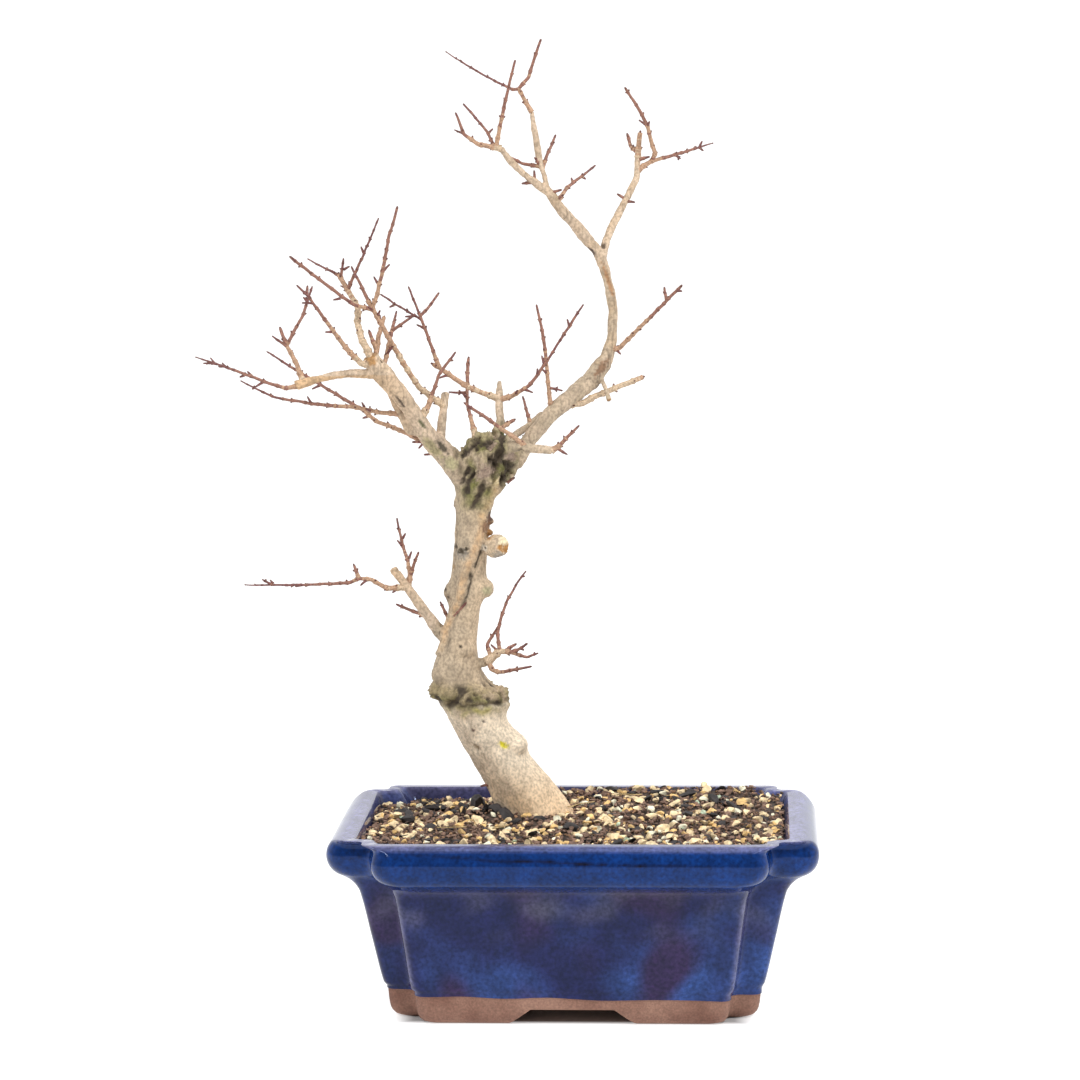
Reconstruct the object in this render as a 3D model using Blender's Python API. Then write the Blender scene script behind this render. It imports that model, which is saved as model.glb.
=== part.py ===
"""Leafless trident maple grown as a bonsai, in a glazed pot with notched corners.

Every length in this file is in millimetres until the meshes are written, in metres.
+X is to the right and +Y away from the front. The last step moves the whole plant so that
the origin is under the middle of its outer box, on the surface that it stands on.
"""
import math
import random

import bmesh
import bpy
from mathutils import Vector

MM = 0.001
CLEAR = 0.3
SIDE_CLEAR = 0.45
SEED = 7

# Pot
POT_HEIGHT = 77.0
RIM_HALF_LENGTH = 100.0
RIM_HALF_DEPTH = 71.0
DEPTH_SHARE = 0.85
ROLL_WIDTH = 8.0
ROLL_DROP = 9.4
RIM_WIDEST = 69.0
ROLL_TURN = 155
ROLL_STEPS = 6
RIM_NOTCH = 20.0
TOP_NOTCH = 9.0
LOBE_SHARE = 0.45
CREASE_SHARE = 0.32
LIP_INSET = 12.0
RECESS_HEIGHT = 7.0
ARC_STEPS = 4
CREASE_STEPS = 2
DRAIN_RADIUS = 6.0
DRAIN_SPACING = 64.0
DRAIN_SIDES = 16
GATE_HEIGHT = 6.6
GATE_SLOPE = 9.0
GATE_LENGTH = 52.0
GATE_DEPTH = 34.0
CUTTER_PAST = 2.0

# Below the rolled rim: height, inset from the rim, notch, lobe radius, crease radius
BODY_LEVELS = (
    (58.9, 8.0, 18.6, 7.5, 5.5),
    (56.8, 10.8, 17.0, 6.0, 5.0),
    (53.0, 13.2, 16.0, 5.0, 4.5),
    (34.0, 17.6, 14.2, 4.8, 4.2),
    (15.0, 22.0, 12.4, 4.6, 4.0),
    (12.5, 23.4, 12.4, 4.6, 4.0),
    (4.0, 24.6, 12.2, 5.0, 4.0),
    (1.0, 26.4, 11.8, 5.4, 4.0),
    (0.0, 29.0, 11.4, 5.0, 4.0),
)
RECESS_LEVELS = (
    (0.0, 35.5, 11.0, 4.0, 4.0),
    (1.0, 36.5, 11.0, 4.0, 4.0),
    (RECESS_HEIGHT, 37.5, 11.0, 4.0, 4.0),
)
INNER_LEVELS = (
    (POT_HEIGHT, LIP_INSET, 9.0, 4.4, 4.0),
    (75.5, 13.2, 9.2, 4.4, 4.0),
    (69.0, 15.2, 12.0, 4.4, 4.0),
    (53.0, 19.4, 14.8, 4.4, 4.0),
    (14.0, 28.6, 11.4, 4.2, 4.0),
    (11.0, 31.0, 11.0, 4.0, 4.0),
)

# Soil
SOIL_PATCH = 77.0
SOIL_EDGE = 73.4
SOIL_FALL = 1.9
SOIL_SHRINKS = (0.93, 0.8, 0.64, 0.5, 0.37)
SOIL_BUMP = 0.8
PATCH_RADIUS = 18.5
WALL_CLEAR = 0.36
STONE_SPACING = 12.0
STONE_JITTER = 2.6
STONE_SIZES = (6.5, 10.0)
STONE_SQUASH = 0.68
STONE_MARGIN = 1.4

# Trunk: height, middle across, middle in depth, half width, half depth
TRUNK_STATIONS = (
    (SOIL_PATCH + CLEAR, -18, 10, 15.5, 13.5),
    (83, -21, 9.5, 15, 13),
    (90, -25, 8.5, 14, 12.5),
    (101, -32.5, 7.5, 12.5, 12),
    (114, -40, 6, 12, 11.5),
    (127, -45, 5, 12, 11.5),
    (137, -49, 4, 10, 10),
    (146, -49, 3.5, 8, 8.5),
    (162, -46, 3, 6.5, 7),
    (181, -43.5, 2.5, 7, 7),
    (199, -42, 2, 7, 7),
    (210, -40.5, 1.5, 8, 7.5),
    (217, -39, 1, 10, 8.5),
    (222, -35, 0.5, 11, 9.5),
    (229, -34, 0, 11.5, 9.5),
    (233, -33.5, 0, 8.5, 7),
    (235, -34, 0, 4, 4),
)
# Swellings: height, side in degrees from +X, how proud, spread in height, spread in degrees
TRUNK_SWELLS = (
    (107.5, 0, 3, 4, 45),
    (124, 0, 3.5, 4.5, 60),
    (128, 180, 2, 4.5, 60),
    (126, 270, 2, 4.5, 80),
    (126, 90, 2, 4.5, 80),
    (170.5, 180, 3, 4, 50),
    (171.5, 0, 4, 3.5, 45),
    (207.5, 180, 1, 2, 40),
    (226, 250, 1.5, 3.5, 40),
)
ROOT_LOBES = 5
ROOT_LOBE_DEPTH = 0.07
ROOT_LOBE_REACH = 9.0
TRUNK_SIDES = 20
TRUNK_RINGS = 34

# Headings are degrees clockwise from straight up, as seen from the front and a little above.
# Leans are degrees away from the front. Lengths are as seen from there.
VIEW_TURN = 3.2
VIEW_DROP = 7.2

BOUGH_SIDES = 10
TWIG_SIDES = 6
SIDE_TWIG_SIDES = 5
LONGEST_RUN = 9.0
SHARPEST_TURN = 16.0

COLOURS = {
    "glaze": ((0.035, 0.075, 0.24), 0.18),
    "soil": ((0.09, 0.055, 0.035), 0.95),
    "bark": ((0.46, 0.37, 0.27), 0.85),
    "twig": ((0.25, 0.11, 0.075), 0.7),
}


def twig(along, lean, girths, *stretches, sides=()):
    """One limb: where it leaves its parent (0 to 1), its lean, its girths spaced evenly from
    root to tip, and its stretches as (length, heading) or (length, first, last heading)."""
    runs = [(run[0], run[1], run[-1]) for run in stretches]
    return {"along": along, "lean": lean, "girths": girths, "stretches": runs, "sides": sides}


# Short arms of the trunk that its limbs go on from: height on the trunk, then the arm
TRUNK_ARMS = {
    "low_left": (147.0, twig(0, -10, (8.0, 5.2), (11.1, -48))),
    "low_right": (138.5, twig(0, -22, (5.5, 3.6), (12.6, 80))),
    "left": (214.0, twig(0, -14, (14.0, 10.4), (14.3, -44))),
    "right": (214.5, twig(0, 20, (13.0, 7.8), (18, 58))),
    "centre": (228.0, twig(0, 8, (6.0, 3.8), (8.4, 27))),
    "centre_left": (226.0, twig(0, 6, (4.5, 3.0), (10.4, -34))),
    "front": (226.0, twig(0, -48, (6.0, 4.4), (9.5, 62))),
    "cross": (227.0, twig(0, 45, (5.0, 3.2), (11.5, 50))),
    "cut": (190.0, twig(0, -40, (8.6, 8.4), (14, 93))),
}

# Boughs: what each one grows from, then the limb. "arm" and "tip" mean from the flat end.
# The side of a bough is a short arm that another bough goes on from.
BOUGHS = {
    "bough_low_left": ("arm:low_left", twig(0, -12, (5.0, 4.0, 3.5, 3.0), (31.2, -35))),
    "bough_left": ("arm:left", twig(
        0, -18, (10.0, 8.8, 7.3, 6.8, 7.2, 8.4, 6.4),
        (14.6, -43), (13.5, -31), (21.2, -38, -40), (4.8, -31))),
    "bough_left_inner": ("bough_left", twig(
        0.31, 2, (4.4, 3.8, 3.2), (6, -85), (12.1, -28), (7.2, -24))),
    "bough_left_arm": ("bough_left", twig(
        0.83, -14, (4.2, 3.5, 3.2, 3.0, 3.8), (13.6, -86, -88), (14.3, -97, -104), (7.9, -110))),
    "stub_left": ("bough_left", twig(0.14, 12, (4.2, 3.6, 3.3), (23.3, 6))),
    "bough_centre": ("arm:centre", twig(0, 12, (3.6, 3.4, 3.3, 1.7), (15.7, 0), (6.6, 0))),
    "bough_front": ("arm:front", twig(0, -6, (4.2, 3.4), (16.9, 96))),
    "bough_cross": ("arm:cross", twig(0, 42, (3.0, 2.6), (16.5, 51))),
    "bough_right": ("arm:right", twig(
        0, 17, (7.2, 6.4, 6.4, 6.8, 7.2, 7.8, 7.0),
        (11.2, 34), (14.8, 40), (21.6, 50), (9.6, 38))),
    "bough_right_upper": ("tip:bough_right", twig(
        0, -3, (6.0, 4.2, 3.9, 3.9, 4.2, 4.8), (9.7, 22, 12), (12.7, 4), (11.1, -10),
        (14.2, -18), (4.4, -42), sides=(twig(0.83, 20, (3.6, 3.5), (9.5, 15)),))),
    "bough_top_left": ("tip:bough_right_upper", twig(
        0, -20, (4.8, 4.6, 4.2, 3.3, 2.8, 2.5),
        (20.3, -42), (5.6, -34), (11, -55), (6.2, -50), (10, -40))),
    "bough_top_right": ("tip:bough_right_upper/0", twig(
        0, 20, (3.4, 3.2, 3.1, 2.8, 2.6, 2.4), (5, 22), (24.3, 27), (9.3, 8, 2))),
    "bough_top_upright": ("bough_top_left", twig(
        0.50, -2, (2.1, 2.0, 2.6, 2.4, 1.9), (11.9, -13, -18), (22.4, -11, -8))),
    "stub_right": ("bough_right", twig(0.93, -40, (1.7, 2.1), (13.9, 164))),
}

# Twig masses: what each stem grows from, then the stem with its side twigs
TWIG_MASSES = {
    "twigs_low_left_long": ("bough_low_left", twig(
        0.68, -12, (2.4, 1.8, 1.4, 1.1, 0.9, 0.5),
        (8.6, -91), (7.2, -59), (5, -85), (4.1, -114), (31.9, -93, -89), (10.3, -89), sides=(
            twig(0.31, 10, (1.7, 1.0), (5.8, -20)),
            twig(0.84, -25, (1.0, 0.7), (4.2, -60))))),
    "twigs_low_left_up": ("bough_low_left", twig(
        0.66, 24, (2.4, 1.6, 1.3, 0.8), (5.4, 6), (6.2, -8), (17.9, -20, -9), sides=(
            twig(0.16, -20, (1.6, 1.0), (10.2, 21)),))),
    "twigs_low_left_side": ("bough_low_left", twig(0.19, 22, (1.8, 1.0), (14.2, -68))),
    "twigs_low_right": ("arm:low_right", twig(
        0, -14, (3.4, 2.6, 1.8, 1.3, 0.8), (7.1, 50), (3.7, 96), (7.8, 108), (4.5, 68), sides=(
            twig(0.10, 16, (1.7, 1.4, 0.9), (5.5, -20), (8.7, 31)),
            twig(0.12, -24, (1.7, 1.4, 0.9), (7.2, 145), (10.6, 84, 77)),
            twig(0.30, 10, (1.5, 1.2, 0.7), (7.5, -6), (27.9, 10, 40)),
            twig(0.28, 30, (1.2, 0.8), (3.8, -49)),
            twig(0.38, 26, (1.5, 1.2), (5.2, 61)),
            twig(0.50, -30, (1.4, 1.0), (3, 74), (4.5, 56))))),
    "twigs_left_under": ("bough_left", twig(
        0.20, 22, (2.0, 1.8, 1.6, 1.3, 1.2, 0.7),
        (7.1, -80), (5, -55), (13.3, -66, -71), (8.5, -51), (47.5, -59, -57))),
    "twigs_left_mid": ("bough_left_inner", twig(
        0.52, -4, (2.0, 1.7, 1.6, 1.3, 1.0, 0.6),
        (9.6, -83), (9.3, -77), (7.4, -87), (26.2, -84, -79), (14.8, -66, -61))),
    "twigs_diagonal": ("stub_left", twig(
        0.75, -20, (2.4, 2.3, 2.2, 2.0, 1.7, 1.6, 1.3, 1.1),
        (12.8, -52), (8.4, -33), (27.9, -30, -28), (7.4, 19), (21.6, 15, 11), (11.9, 18), sides=(
            twig(0.545, 6, (1.7, 0.9), (18.8, -26)),
            twig(0.54, -6, (1.6, 1.4, 1.4, 1.2), (8.1, -75), (31.6, -54, -51))))),
    "twigs_knob": ("bough_left", twig(
        0.40, -8, (3.7, 2.2, 1.5, 1.3, 1.2, 0.9), (7.4, 34), (8, 20), (5.2, 18), (10.9, 36, 39))),
    "twigs_head_left": ("bough_left", twig(
        0.94, -26, (2.6, 2.2, 1.8, 1.5, 1.2, 0.8),
        (5.4, -92), (9.9, -42), (23.2, -35), (5.8, -45), sides=(
            twig(0.89, 20, (1.1, 1.0), (3, 4)),
            twig(0.80, -20, (0.9, 0.8), (3.8, -90))))),
    "twigs_head_up": ("bough_left", twig(
        0.95, 16, (3.0, 2.6, 2.5, 2.2, 1.8),
        (10.7, -27), (6.8, -14), (6.6, 0), (16.1, -31, -27), sides=(
            twig(0.81, -22, (1.4, 1.0, 0.7), (30.9, 27, 24)),
            twig(0.97, 30, (1.2, 0.9, 0.6), (15.5, -60)),
            twig(0.96, -24, (1.2, 0.9), (7.1, 10)),
            twig(0.82, 24, (0.9, 0.6), (2.6, -61))))),
    "twigs_head_mid": ("bough_left", twig(
        0.94, 34, (2.2, 2.0, 1.7), (11.3, 8), (8.5, 14), sides=(
            twig(0.28, -10, (1.7, 1.4), (7.8, -20)),))),
    "twigs_head_right": ("bough_left", twig(
        0.84, 30, (2.0, 1.8, 1.7, 1.4, 0.8), (26.5, 10, 13), sides=(
            twig(0.70, -6, (1.3, 1.0), (9.5, 60, 52)),
            twig(0.30, -40, (1.2, 0.9), (3.6, 40))))),
    "twigs_left_far": ("tip:bough_left_arm", twig(
        0, -10, (1.8, 1.4, 1.2, 1.1, 0.9, 0.5),
        (4.1, -100), (6.3, -75), (22.8, -68, -70), (8.4, -72), sides=(
            twig(0.80, -30, (0.9, 0.7), (4.8, -88)),
            twig(0.82, 26, (0.8, 0.6), (2.4, -38)),
            twig(0.70, 20, (0.8, 0.6), (2.2, -45))))),
    "twigs_left_far_up": ("bough_left_arm", twig(
        0.91, 14, (2.2, 1.9, 1.6, 1.3, 1.2, 0.8),
        (8, -19), (9.2, -29), (12.9, 25, 31), (13.2, 20, 16), sides=(
            twig(0.40, 30, (1.5, 1.3), (7.5, -22)),
            twig(0.395, -24, (1.2, 0.7), (6.4, -55))))),
    "twigs_centre_up": ("arm:centre_left", twig(
        0, 22, (2.6, 1.7, 1.2, 1.4, 1.6, 1.2), (13.7, -15), (19.9, -1, 4), sides=(
            twig(0.57, 16, (1.2, 0.8), (7.1, -87)),))),
    "twigs_centre_left": ("bough_centre", twig(
        0.67, -8, (2.5, 2.2, 2.1, 2.0, 1.6), (14.1, -69), (17, -54, -58), sides=(
            twig(0.90, -10, (1.8, 1.4, 1.3, 1.0, 0.8), (34.8, -18, -22), sides=(
                twig(0.60, 20, (1.0, 0.8), (19.8, -60, -54)),
                twig(0.65, 14, (1.2, 1.0), (3.8, 49), (8, 35)))),))),
    "twigs_centre_right": ("bough_centre", twig(
        0.66, -16, (2.2, 1.6, 1.4, 1.1, 1.0, 1.2, 0.7), (5.1, 76), (8.5, 60), (4.4, 41), (34.8, 34))),
    "twigs_behind": ("bough_centre", twig(0.10, 20, (1.8, 1.5), (6.9, 57))),
    "twigs_front_left": ("bough_front", twig(
        0.42, -14, (2.0, 1.7, 1.4, 1.0), (31, -52, -57))),
    "twigs_front_right": ("tip:bough_front", twig(
        0, -14, (2.4, 1.6, 1.3, 0.9), (2.8, 65), (11.7, 45), sides=(
            twig(0.15, 20, (1.3, 0.8), (4.6, 122)),))),
    "twigs_cross": ("bough_cross", twig(0.60, 16, (1.7, 1.2, 1.0), (11.2, -15))),
    "twigs_right_inner": ("bough_right", twig(
        0.455, -8, (2.1, 1.7, 1.6, 1.5, 1.3, 1.0), (9.9, -7), (19.2, -4, -6), (15.2, -9, -13), sides=(
            twig(0.24, 0, (1.1, 0.8), (5.3, 104)),))),
    "twigs_right_out": ("bough_right", twig(0.55, 12, (2.7, 2.4, 2.2), (6, 88), (30.3, 68))),
    "twigs_right_mid": ("bough_right_upper", twig(
        0.10, -24, (2.0, 1.8, 1.6, 1.4, 1.2), (4.4, 85), (35.2, 46), sides=(
            twig(0.80, 20, (1.3, 1.0), (5.2, -10)),))),
    "twigs_top_left": ("tip:bough_top_left", twig(
        0, -12, (2.4, 1.9, 1.7, 1.3, 1.0), (9.4, -80), (7.2, -55), (8.5, -20), sides=(
            twig(0.09, 24, (1.3, 1.1, 0.9), (7.7, -24), (15.2, -39)),
            twig(0.07, -16, (1.7, 1.6, 1.3, 1.0), (8.1, 12), (26.9, 12, 16)),
            twig(0.66, 26, (0.8, 0.6), (3.9, -63))))),
    "twigs_arch": ("bough_top_upright", twig(
        0.33, 4, (1.6, 1.3, 1.0), (7.9, -80), (7.6, -63), (3, -40))),
    "twigs_upright_side": ("bough_top_upright", twig(0.31, 26, (1.6, 1.3, 1.0), (15, 22))),
    "twigs_top": ("tip:bough_top_upright", twig(
        0, -10, (1.8, 1.6, 1.5, 1.3, 1.1), (10.8, -30), (6.4, 43), (15.3, 17, 20), sides=(
            twig(0.33, 20, (1.2, 0.9, 0.8, 0.4), (2.2, -95), (32.7, -62, -54)),))),
    "twigs_top_inner": ("bough_top_left", twig(0.40, 30, (1.8, 1.5, 1.2, 0.8), (8.2, 32), (15.4, 50))),
    "twigs_top_right_end": ("tip:bough_top_right", twig(
        0, -10, (2.3, 2.1, 2.1), (10.3, 6), sides=(
            twig(0.16, 26, (1.6, 1.3), (4.2, -45), (5.4, -16)),))),
    "twigs_top_right_out": ("bough_top_right", twig(
        0.84, 14, (2.0, 1.8, 1.5, 1.3, 1.0, 0.5), (4.5, 49), (3.4, 60), (26.9, 75, 71), sides=(
            twig(0.23, -30, (1.7, 1.7, 1.4, 1.1), (3.3, 23), (11.6, -20, -14), (16.8, -28, -37)),))),
}


def levels_of_rim():
    """Levels of the rolled rim from its flat top down to its underside."""
    levels = []
    for step in range(ROLL_STEPS + 1):
        angle = math.radians(90 - ROLL_TURN * step / ROLL_STEPS)
        inset = ROLL_WIDTH * (1 - math.cos(angle))
        rise = ROLL_DROP
        notch = RIM_NOTCH
        if angle > 0:
            rise = POT_HEIGHT - RIM_WIDEST
            notch -= (RIM_NOTCH - TOP_NOTCH) * math.sin(angle) ** 2
        height = RIM_WIDEST + rise * math.sin(angle)
        levels.append((height, inset, notch, LOBE_SHARE * notch, CREASE_SHARE * notch))
    return levels


def notched_outline(inset, notch, lobe, crease):
    """Points of a rectangle with notched corners, round lobes and round creases."""
    half_length = RIM_HALF_LENGTH - inset
    half_depth = RIM_HALF_DEPTH - DEPTH_SHARE * inset
    arcs = (
        (half_length - lobe, half_depth - notch - lobe, lobe, 0, 90, ARC_STEPS),
        (half_length - notch + crease, half_depth - notch + crease, crease, 270, 180, CREASE_STEPS),
        (half_length - notch - lobe, half_depth - lobe, lobe, 0, 90, ARC_STEPS),
    )
    corner = []
    for x, y, radius, first, last, steps in arcs:
        for step in range(steps + 1):
            angle = math.radians(first + (last - first) * step / steps)
            corner.append((x + radius * math.cos(angle), y + radius * math.sin(angle)))
    mirrored = [(-x, y) for x, y in reversed(corner)]
    half = corner + mirrored
    return half + [(-x, -y) for x, y in half]


def loop_at(level):
    """Outline of one level as points in space."""
    height, inset, notch, lobe, crease = level
    return [Vector((x, y, height)) for x, y in notched_outline(inset, notch, lobe, crease)]


def between(levels, height):
    """Level at a height between two of the inner wall's levels, which run downwards."""
    for upper, lower in zip(levels, levels[1:]):
        if height >= lower[0]:
            share = (upper[0] - height) / (upper[0] - lower[0])
            return tuple(a + (b - a) * share for a, b in zip(upper, lower))
    return levels[-1]


def mesh_from_loops(name, loops):
    """Closed mesh through loops of equal count, with a flat cap at each end."""
    points = [point for loop in loops for point in loop]
    count = len(loops[0])
    faces = [list(range(count))[::-1]]
    for row in range(len(loops) - 1):
        start = row * count
        for side in range(count):
            after = (side + 1) % count
            faces.append((start + side, start + after, start + count + after, start + count + side))
    faces.append([(len(loops) - 1) * count + side for side in range(count)])
    mesh = bpy.data.meshes.new(name)
    mesh.from_pydata([point * MM for point in points], [], faces)
    form = bmesh.new()
    form.from_mesh(mesh)
    bmesh.ops.recalc_face_normals(form, faces=form.faces)
    form.to_mesh(mesh)
    form.free()
    return mesh


def add_object(name, mesh, collection=None):
    """Object for a mesh, linked to a collection."""
    made = bpy.data.objects.new(name, mesh)
    (collection or bpy.context.scene.collection).objects.link(made)
    return made


def finish_object(made, finish, crease_angle=40):
    """Give an object its material and its shading."""
    made.data.materials.clear()
    made.data.materials.append(material(finish))
    made.data.shade_smooth()
    made.data.set_sharp_from_angle(angle=math.radians(crease_angle))


def material(finish):
    """Principled material by its finish name, made once."""
    found = bpy.data.materials.get(finish)
    if found:
        return found
    colour, roughness = COLOURS[finish]
    made = bpy.data.materials.new(finish)
    made.use_nodes = True
    shader = made.node_tree.nodes["Principled BSDF"]
    shader.inputs["Base Color"].default_value = (*colour, 1)
    shader.inputs["Roughness"].default_value = roughness
    shader.inputs["Metallic"].default_value = 0.0
    return made


def apply_boolean(made, tools, operation):
    """Join or cut an object with all tools in one Boolean on a collection, then remove them."""
    group = bpy.data.collections.new("tools")
    bpy.context.scene.collection.children.link(group)
    for number, mesh in enumerate(tools):
        add_object(f"tool_{number}", mesh, group)
    modifier = made.modifiers.new("Boolean", "BOOLEAN")
    modifier.operation = operation
    modifier.solver = "EXACT"
    modifier.operand_type = "COLLECTION"
    modifier.collection = group
    graph = bpy.context.evaluated_depsgraph_get()
    joined = bpy.data.meshes.new_from_object(made.evaluated_get(graph))
    made.modifiers.clear()
    made.data = joined
    for tool in list(group.objects):
        bpy.data.objects.remove(tool)
    bpy.data.collections.remove(group)


def gate_cutter(half_top, turned):
    """Prism with sloping ends that cuts one pair of gates through the foot ring."""
    flare = GATE_SLOPE * (GATE_HEIGHT + CUTTER_PAST) / GATE_HEIGHT
    half_foot = half_top + flare
    section = (
        (-half_foot, -CUTTER_PAST),
        (half_foot, -CUTTER_PAST),
        (half_top, GATE_HEIGHT),
        (-half_top, GATE_HEIGHT),
    )
    loops = []
    for along in (-RIM_HALF_LENGTH, RIM_HALF_LENGTH):
        if turned:
            loops.append([Vector((along, across, height)) for across, height in section])
        else:
            loops.append([Vector((across, along, height)) for across, height in section])
    return mesh_from_loops("gate", loops)


def drain_cutter(x):
    """Round cutter for one drain hole."""
    loops = []
    for height in (RECESS_HEIGHT - CUTTER_PAST, INNER_LEVELS[-1][0] + CUTTER_PAST):
        ring = []
        for side in range(DRAIN_SIDES):
            angle = math.tau * side / DRAIN_SIDES
            ring.append(Vector((x + DRAIN_RADIUS * math.cos(angle), DRAIN_RADIUS * math.sin(angle), height)))
        loops.append(ring)
    return mesh_from_loops("drain", loops)


def build_pot():
    """Pot with its rolled rim, ring foot, four gates in the foot and two drain holes."""
    levels = list(reversed(RECESS_LEVELS)) + list(reversed(BODY_LEVELS))
    levels += list(reversed(levels_of_rim())) + list(INNER_LEVELS)
    pot = add_object("pot", mesh_from_loops("pot", [loop_at(level) for level in levels]))
    cutters = [drain_cutter(side * DRAIN_SPACING / 2) for side in (-1, 1)]
    cutters.append(gate_cutter(GATE_LENGTH / 2 - GATE_SLOPE, False))
    cutters.append(gate_cutter(GATE_DEPTH / 2 - GATE_SLOPE, True))
    apply_boolean(pot, cutters, "DIFFERENCE")
    finish_object(pot, "glaze")


def build_soil():
    """Filling of the pot: level at the rim in front, lower behind, with a mound at the trunk."""
    rng = random.Random(SEED)
    foot = TRUNK_STATIONS[0]
    middle = Vector((foot[1], foot[2], SOIL_PATCH))
    wall = []
    for height in [INNER_LEVELS[-1][0] + CLEAR] + [level[0] for level in INNER_LEVELS[4:1:-1]]:
        level = between(INNER_LEVELS, height)
        wall.append(loop_at((height, level[1] + WALL_CLEAR) + level[2:]))
    edge = []
    for index, point in enumerate(loop_at(INNER_LEVELS[2])):
        height = SOIL_EDGE - SOIL_FALL * point.y / RIM_HALF_DEPTH
        level = between(INNER_LEVELS, height)
        edge.append(loop_at((height, level[1] + WALL_CLEAR) + level[2:])[index])
    tops = []
    for shrink in SOIL_SHRINKS:
        rise = 1 - shrink ** 2
        ring = []
        for point in edge:
            across = middle.lerp(point, shrink)
            bump = rng.uniform(-SOIL_BUMP, SOIL_BUMP) * shrink
            height = point.z + (SOIL_PATCH - point.z) * rise ** 1.5 + bump
            ring.append(Vector((across.x, across.y, min(height, POT_HEIGHT))))
        tops.append(ring)
    patch = []
    for point in edge:
        outward = (point - middle).to_2d().normalized() * PATCH_RADIUS
        patch.append(Vector((middle.x + outward.x, middle.y + outward.y, SOIL_PATCH)))
    soil = add_object("soil", mesh_from_loops("soil", wall + [edge] + tops + [patch]))
    apply_boolean(soil, soil_stones(soil, rng), "UNION")
    finish_object(soil, "soil", 30)


def inside_wall(x, y, margin):
    """Whether a place is inside the pot's wall at the soil's height, by a margin."""
    height, inset, notch, lobe, crease = INNER_LEVELS[2]
    half_length = RIM_HALF_LENGTH - inset - margin
    half_depth = RIM_HALF_DEPTH - DEPTH_SHARE * inset - margin
    if abs(x) > half_length or abs(y) > half_depth:
        return False
    return abs(x) < half_length - notch or abs(y) < half_depth - notch


def soil_stones(soil, rng):
    """Largest stones of the soil's surface, half sunk, on a loose grid clear of wall and trunk."""
    bpy.context.view_layer.update()
    foot = TRUNK_STATIONS[0]
    columns = int(RIM_HALF_LENGTH / STONE_SPACING)
    rows = int(RIM_HALF_DEPTH / STONE_SPACING)
    stones = []
    for column in range(-columns, columns + 1):
        for row in range(-rows, rows + 1):
            x = column * STONE_SPACING + rng.uniform(-STONE_JITTER, STONE_JITTER)
            y = row * STONE_SPACING + rng.uniform(-STONE_JITTER, STONE_JITTER)
            size = rng.uniform(*STONE_SIZES)
            from_trunk = math.hypot(x - foot[1], y - foot[2])
            if from_trunk < PATCH_RADIUS + size / 2 or not inside_wall(x, y, size / 2 + STONE_MARGIN):
                continue
            above = Vector((x, y, 2 * POT_HEIGHT)) * MM
            surface = soil.ray_cast(above, Vector((0, 0, -1)))[1]
            stones.append(stone_mesh(rng, surface / MM, size))
    return stones


def stone_mesh(rng, middle, size):
    """One broken stone with few faces, wider than high."""
    form = bmesh.new()
    bmesh.ops.create_icosphere(form, subdivisions=1, radius=size / 2)
    for vertex in form.verts:
        vertex.co *= rng.uniform(0.85, 1.05)
        vertex.co.z *= STONE_SQUASH
        vertex.co = (vertex.co + middle) * MM
    mesh = bpy.data.meshes.new("stone")
    form.to_mesh(mesh)
    form.free()
    return mesh


def smooth(stations, height):
    """Values at a height, on a smooth curve through the stations."""
    last = len(stations) - 1
    index = 0
    while index < last - 1 and height > stations[index + 1][0]:
        index += 1
    before = stations[max(index - 1, 0)]
    low = stations[index]
    high = stations[index + 1]
    after = stations[min(index + 2, last)]
    span = high[0] - low[0]
    share = min(max((height - low[0]) / span, 0), 1)
    values = []
    for column in range(1, len(low)):
        slope_low = (high[column] - before[column]) / (high[0] - before[0]) * span
        slope_high = (after[column] - low[column]) / (after[0] - low[0]) * span
        rise = high[column] - low[column]
        square = 3 * rise - 2 * slope_low - slope_high
        cube = slope_low + slope_high - 2 * rise
        values.append(low[column] + slope_low * share + square * share ** 2 + cube * share ** 3)
    return values


def trunk_ring(height):
    """Ring of the trunk at a height, with its swellings and root lobes."""
    x, y, half_width, half_depth = smooth(TRUNK_STATIONS, height)
    above_soil = height - TRUNK_STATIONS[0][0]
    lobe_depth = ROOT_LOBE_DEPTH * math.exp(-above_soil / ROOT_LOBE_REACH)
    ring = []
    for side in range(TRUNK_SIDES):
        angle = math.tau * side / TRUNK_SIDES
        proud = 0.0
        for level, facing, most, spread, width in TRUNK_SWELLS:
            apart = (math.degrees(angle) - facing + 180) % 360 - 180
            proud += most * math.exp(-((height - level) / spread) ** 2 - (apart / width) ** 2)
        lobes = 1 + lobe_depth * math.cos(ROOT_LOBES * angle + 0.8)
        ring.append(Vector((
            x + (half_width * lobes + proud) * math.cos(angle),
            y + (half_depth * lobes + proud) * math.sin(angle),
            height)))
    return ring


def view_axes():
    """Right, up and away, as seen from the front and a little above."""
    turn = math.radians(VIEW_TURN)
    drop = math.radians(VIEW_DROP)
    right = Vector((math.cos(turn), math.sin(turn), 0))
    away = Vector((-math.sin(turn) * math.cos(drop), math.cos(turn) * math.cos(drop), -math.sin(drop)))
    return right, right.cross(away), away


RIGHT, UP, AWAY = view_axes()


def step_vector(heading, lean):
    """Move for one millimetre of a limb's length as seen from the front."""
    turn = math.radians(heading)
    return RIGHT * math.sin(turn) + UP * math.cos(turn) + AWAY * math.tan(math.radians(lean))


def girth_at(girths, share):
    """Girth at a share of the length, between evenly spaced girths."""
    place = min(max(share, 0), 1) * (len(girths) - 1)
    index = min(int(place), len(girths) - 2)
    return girths[index] + (girths[index + 1] - girths[index]) * (place - index)


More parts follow.
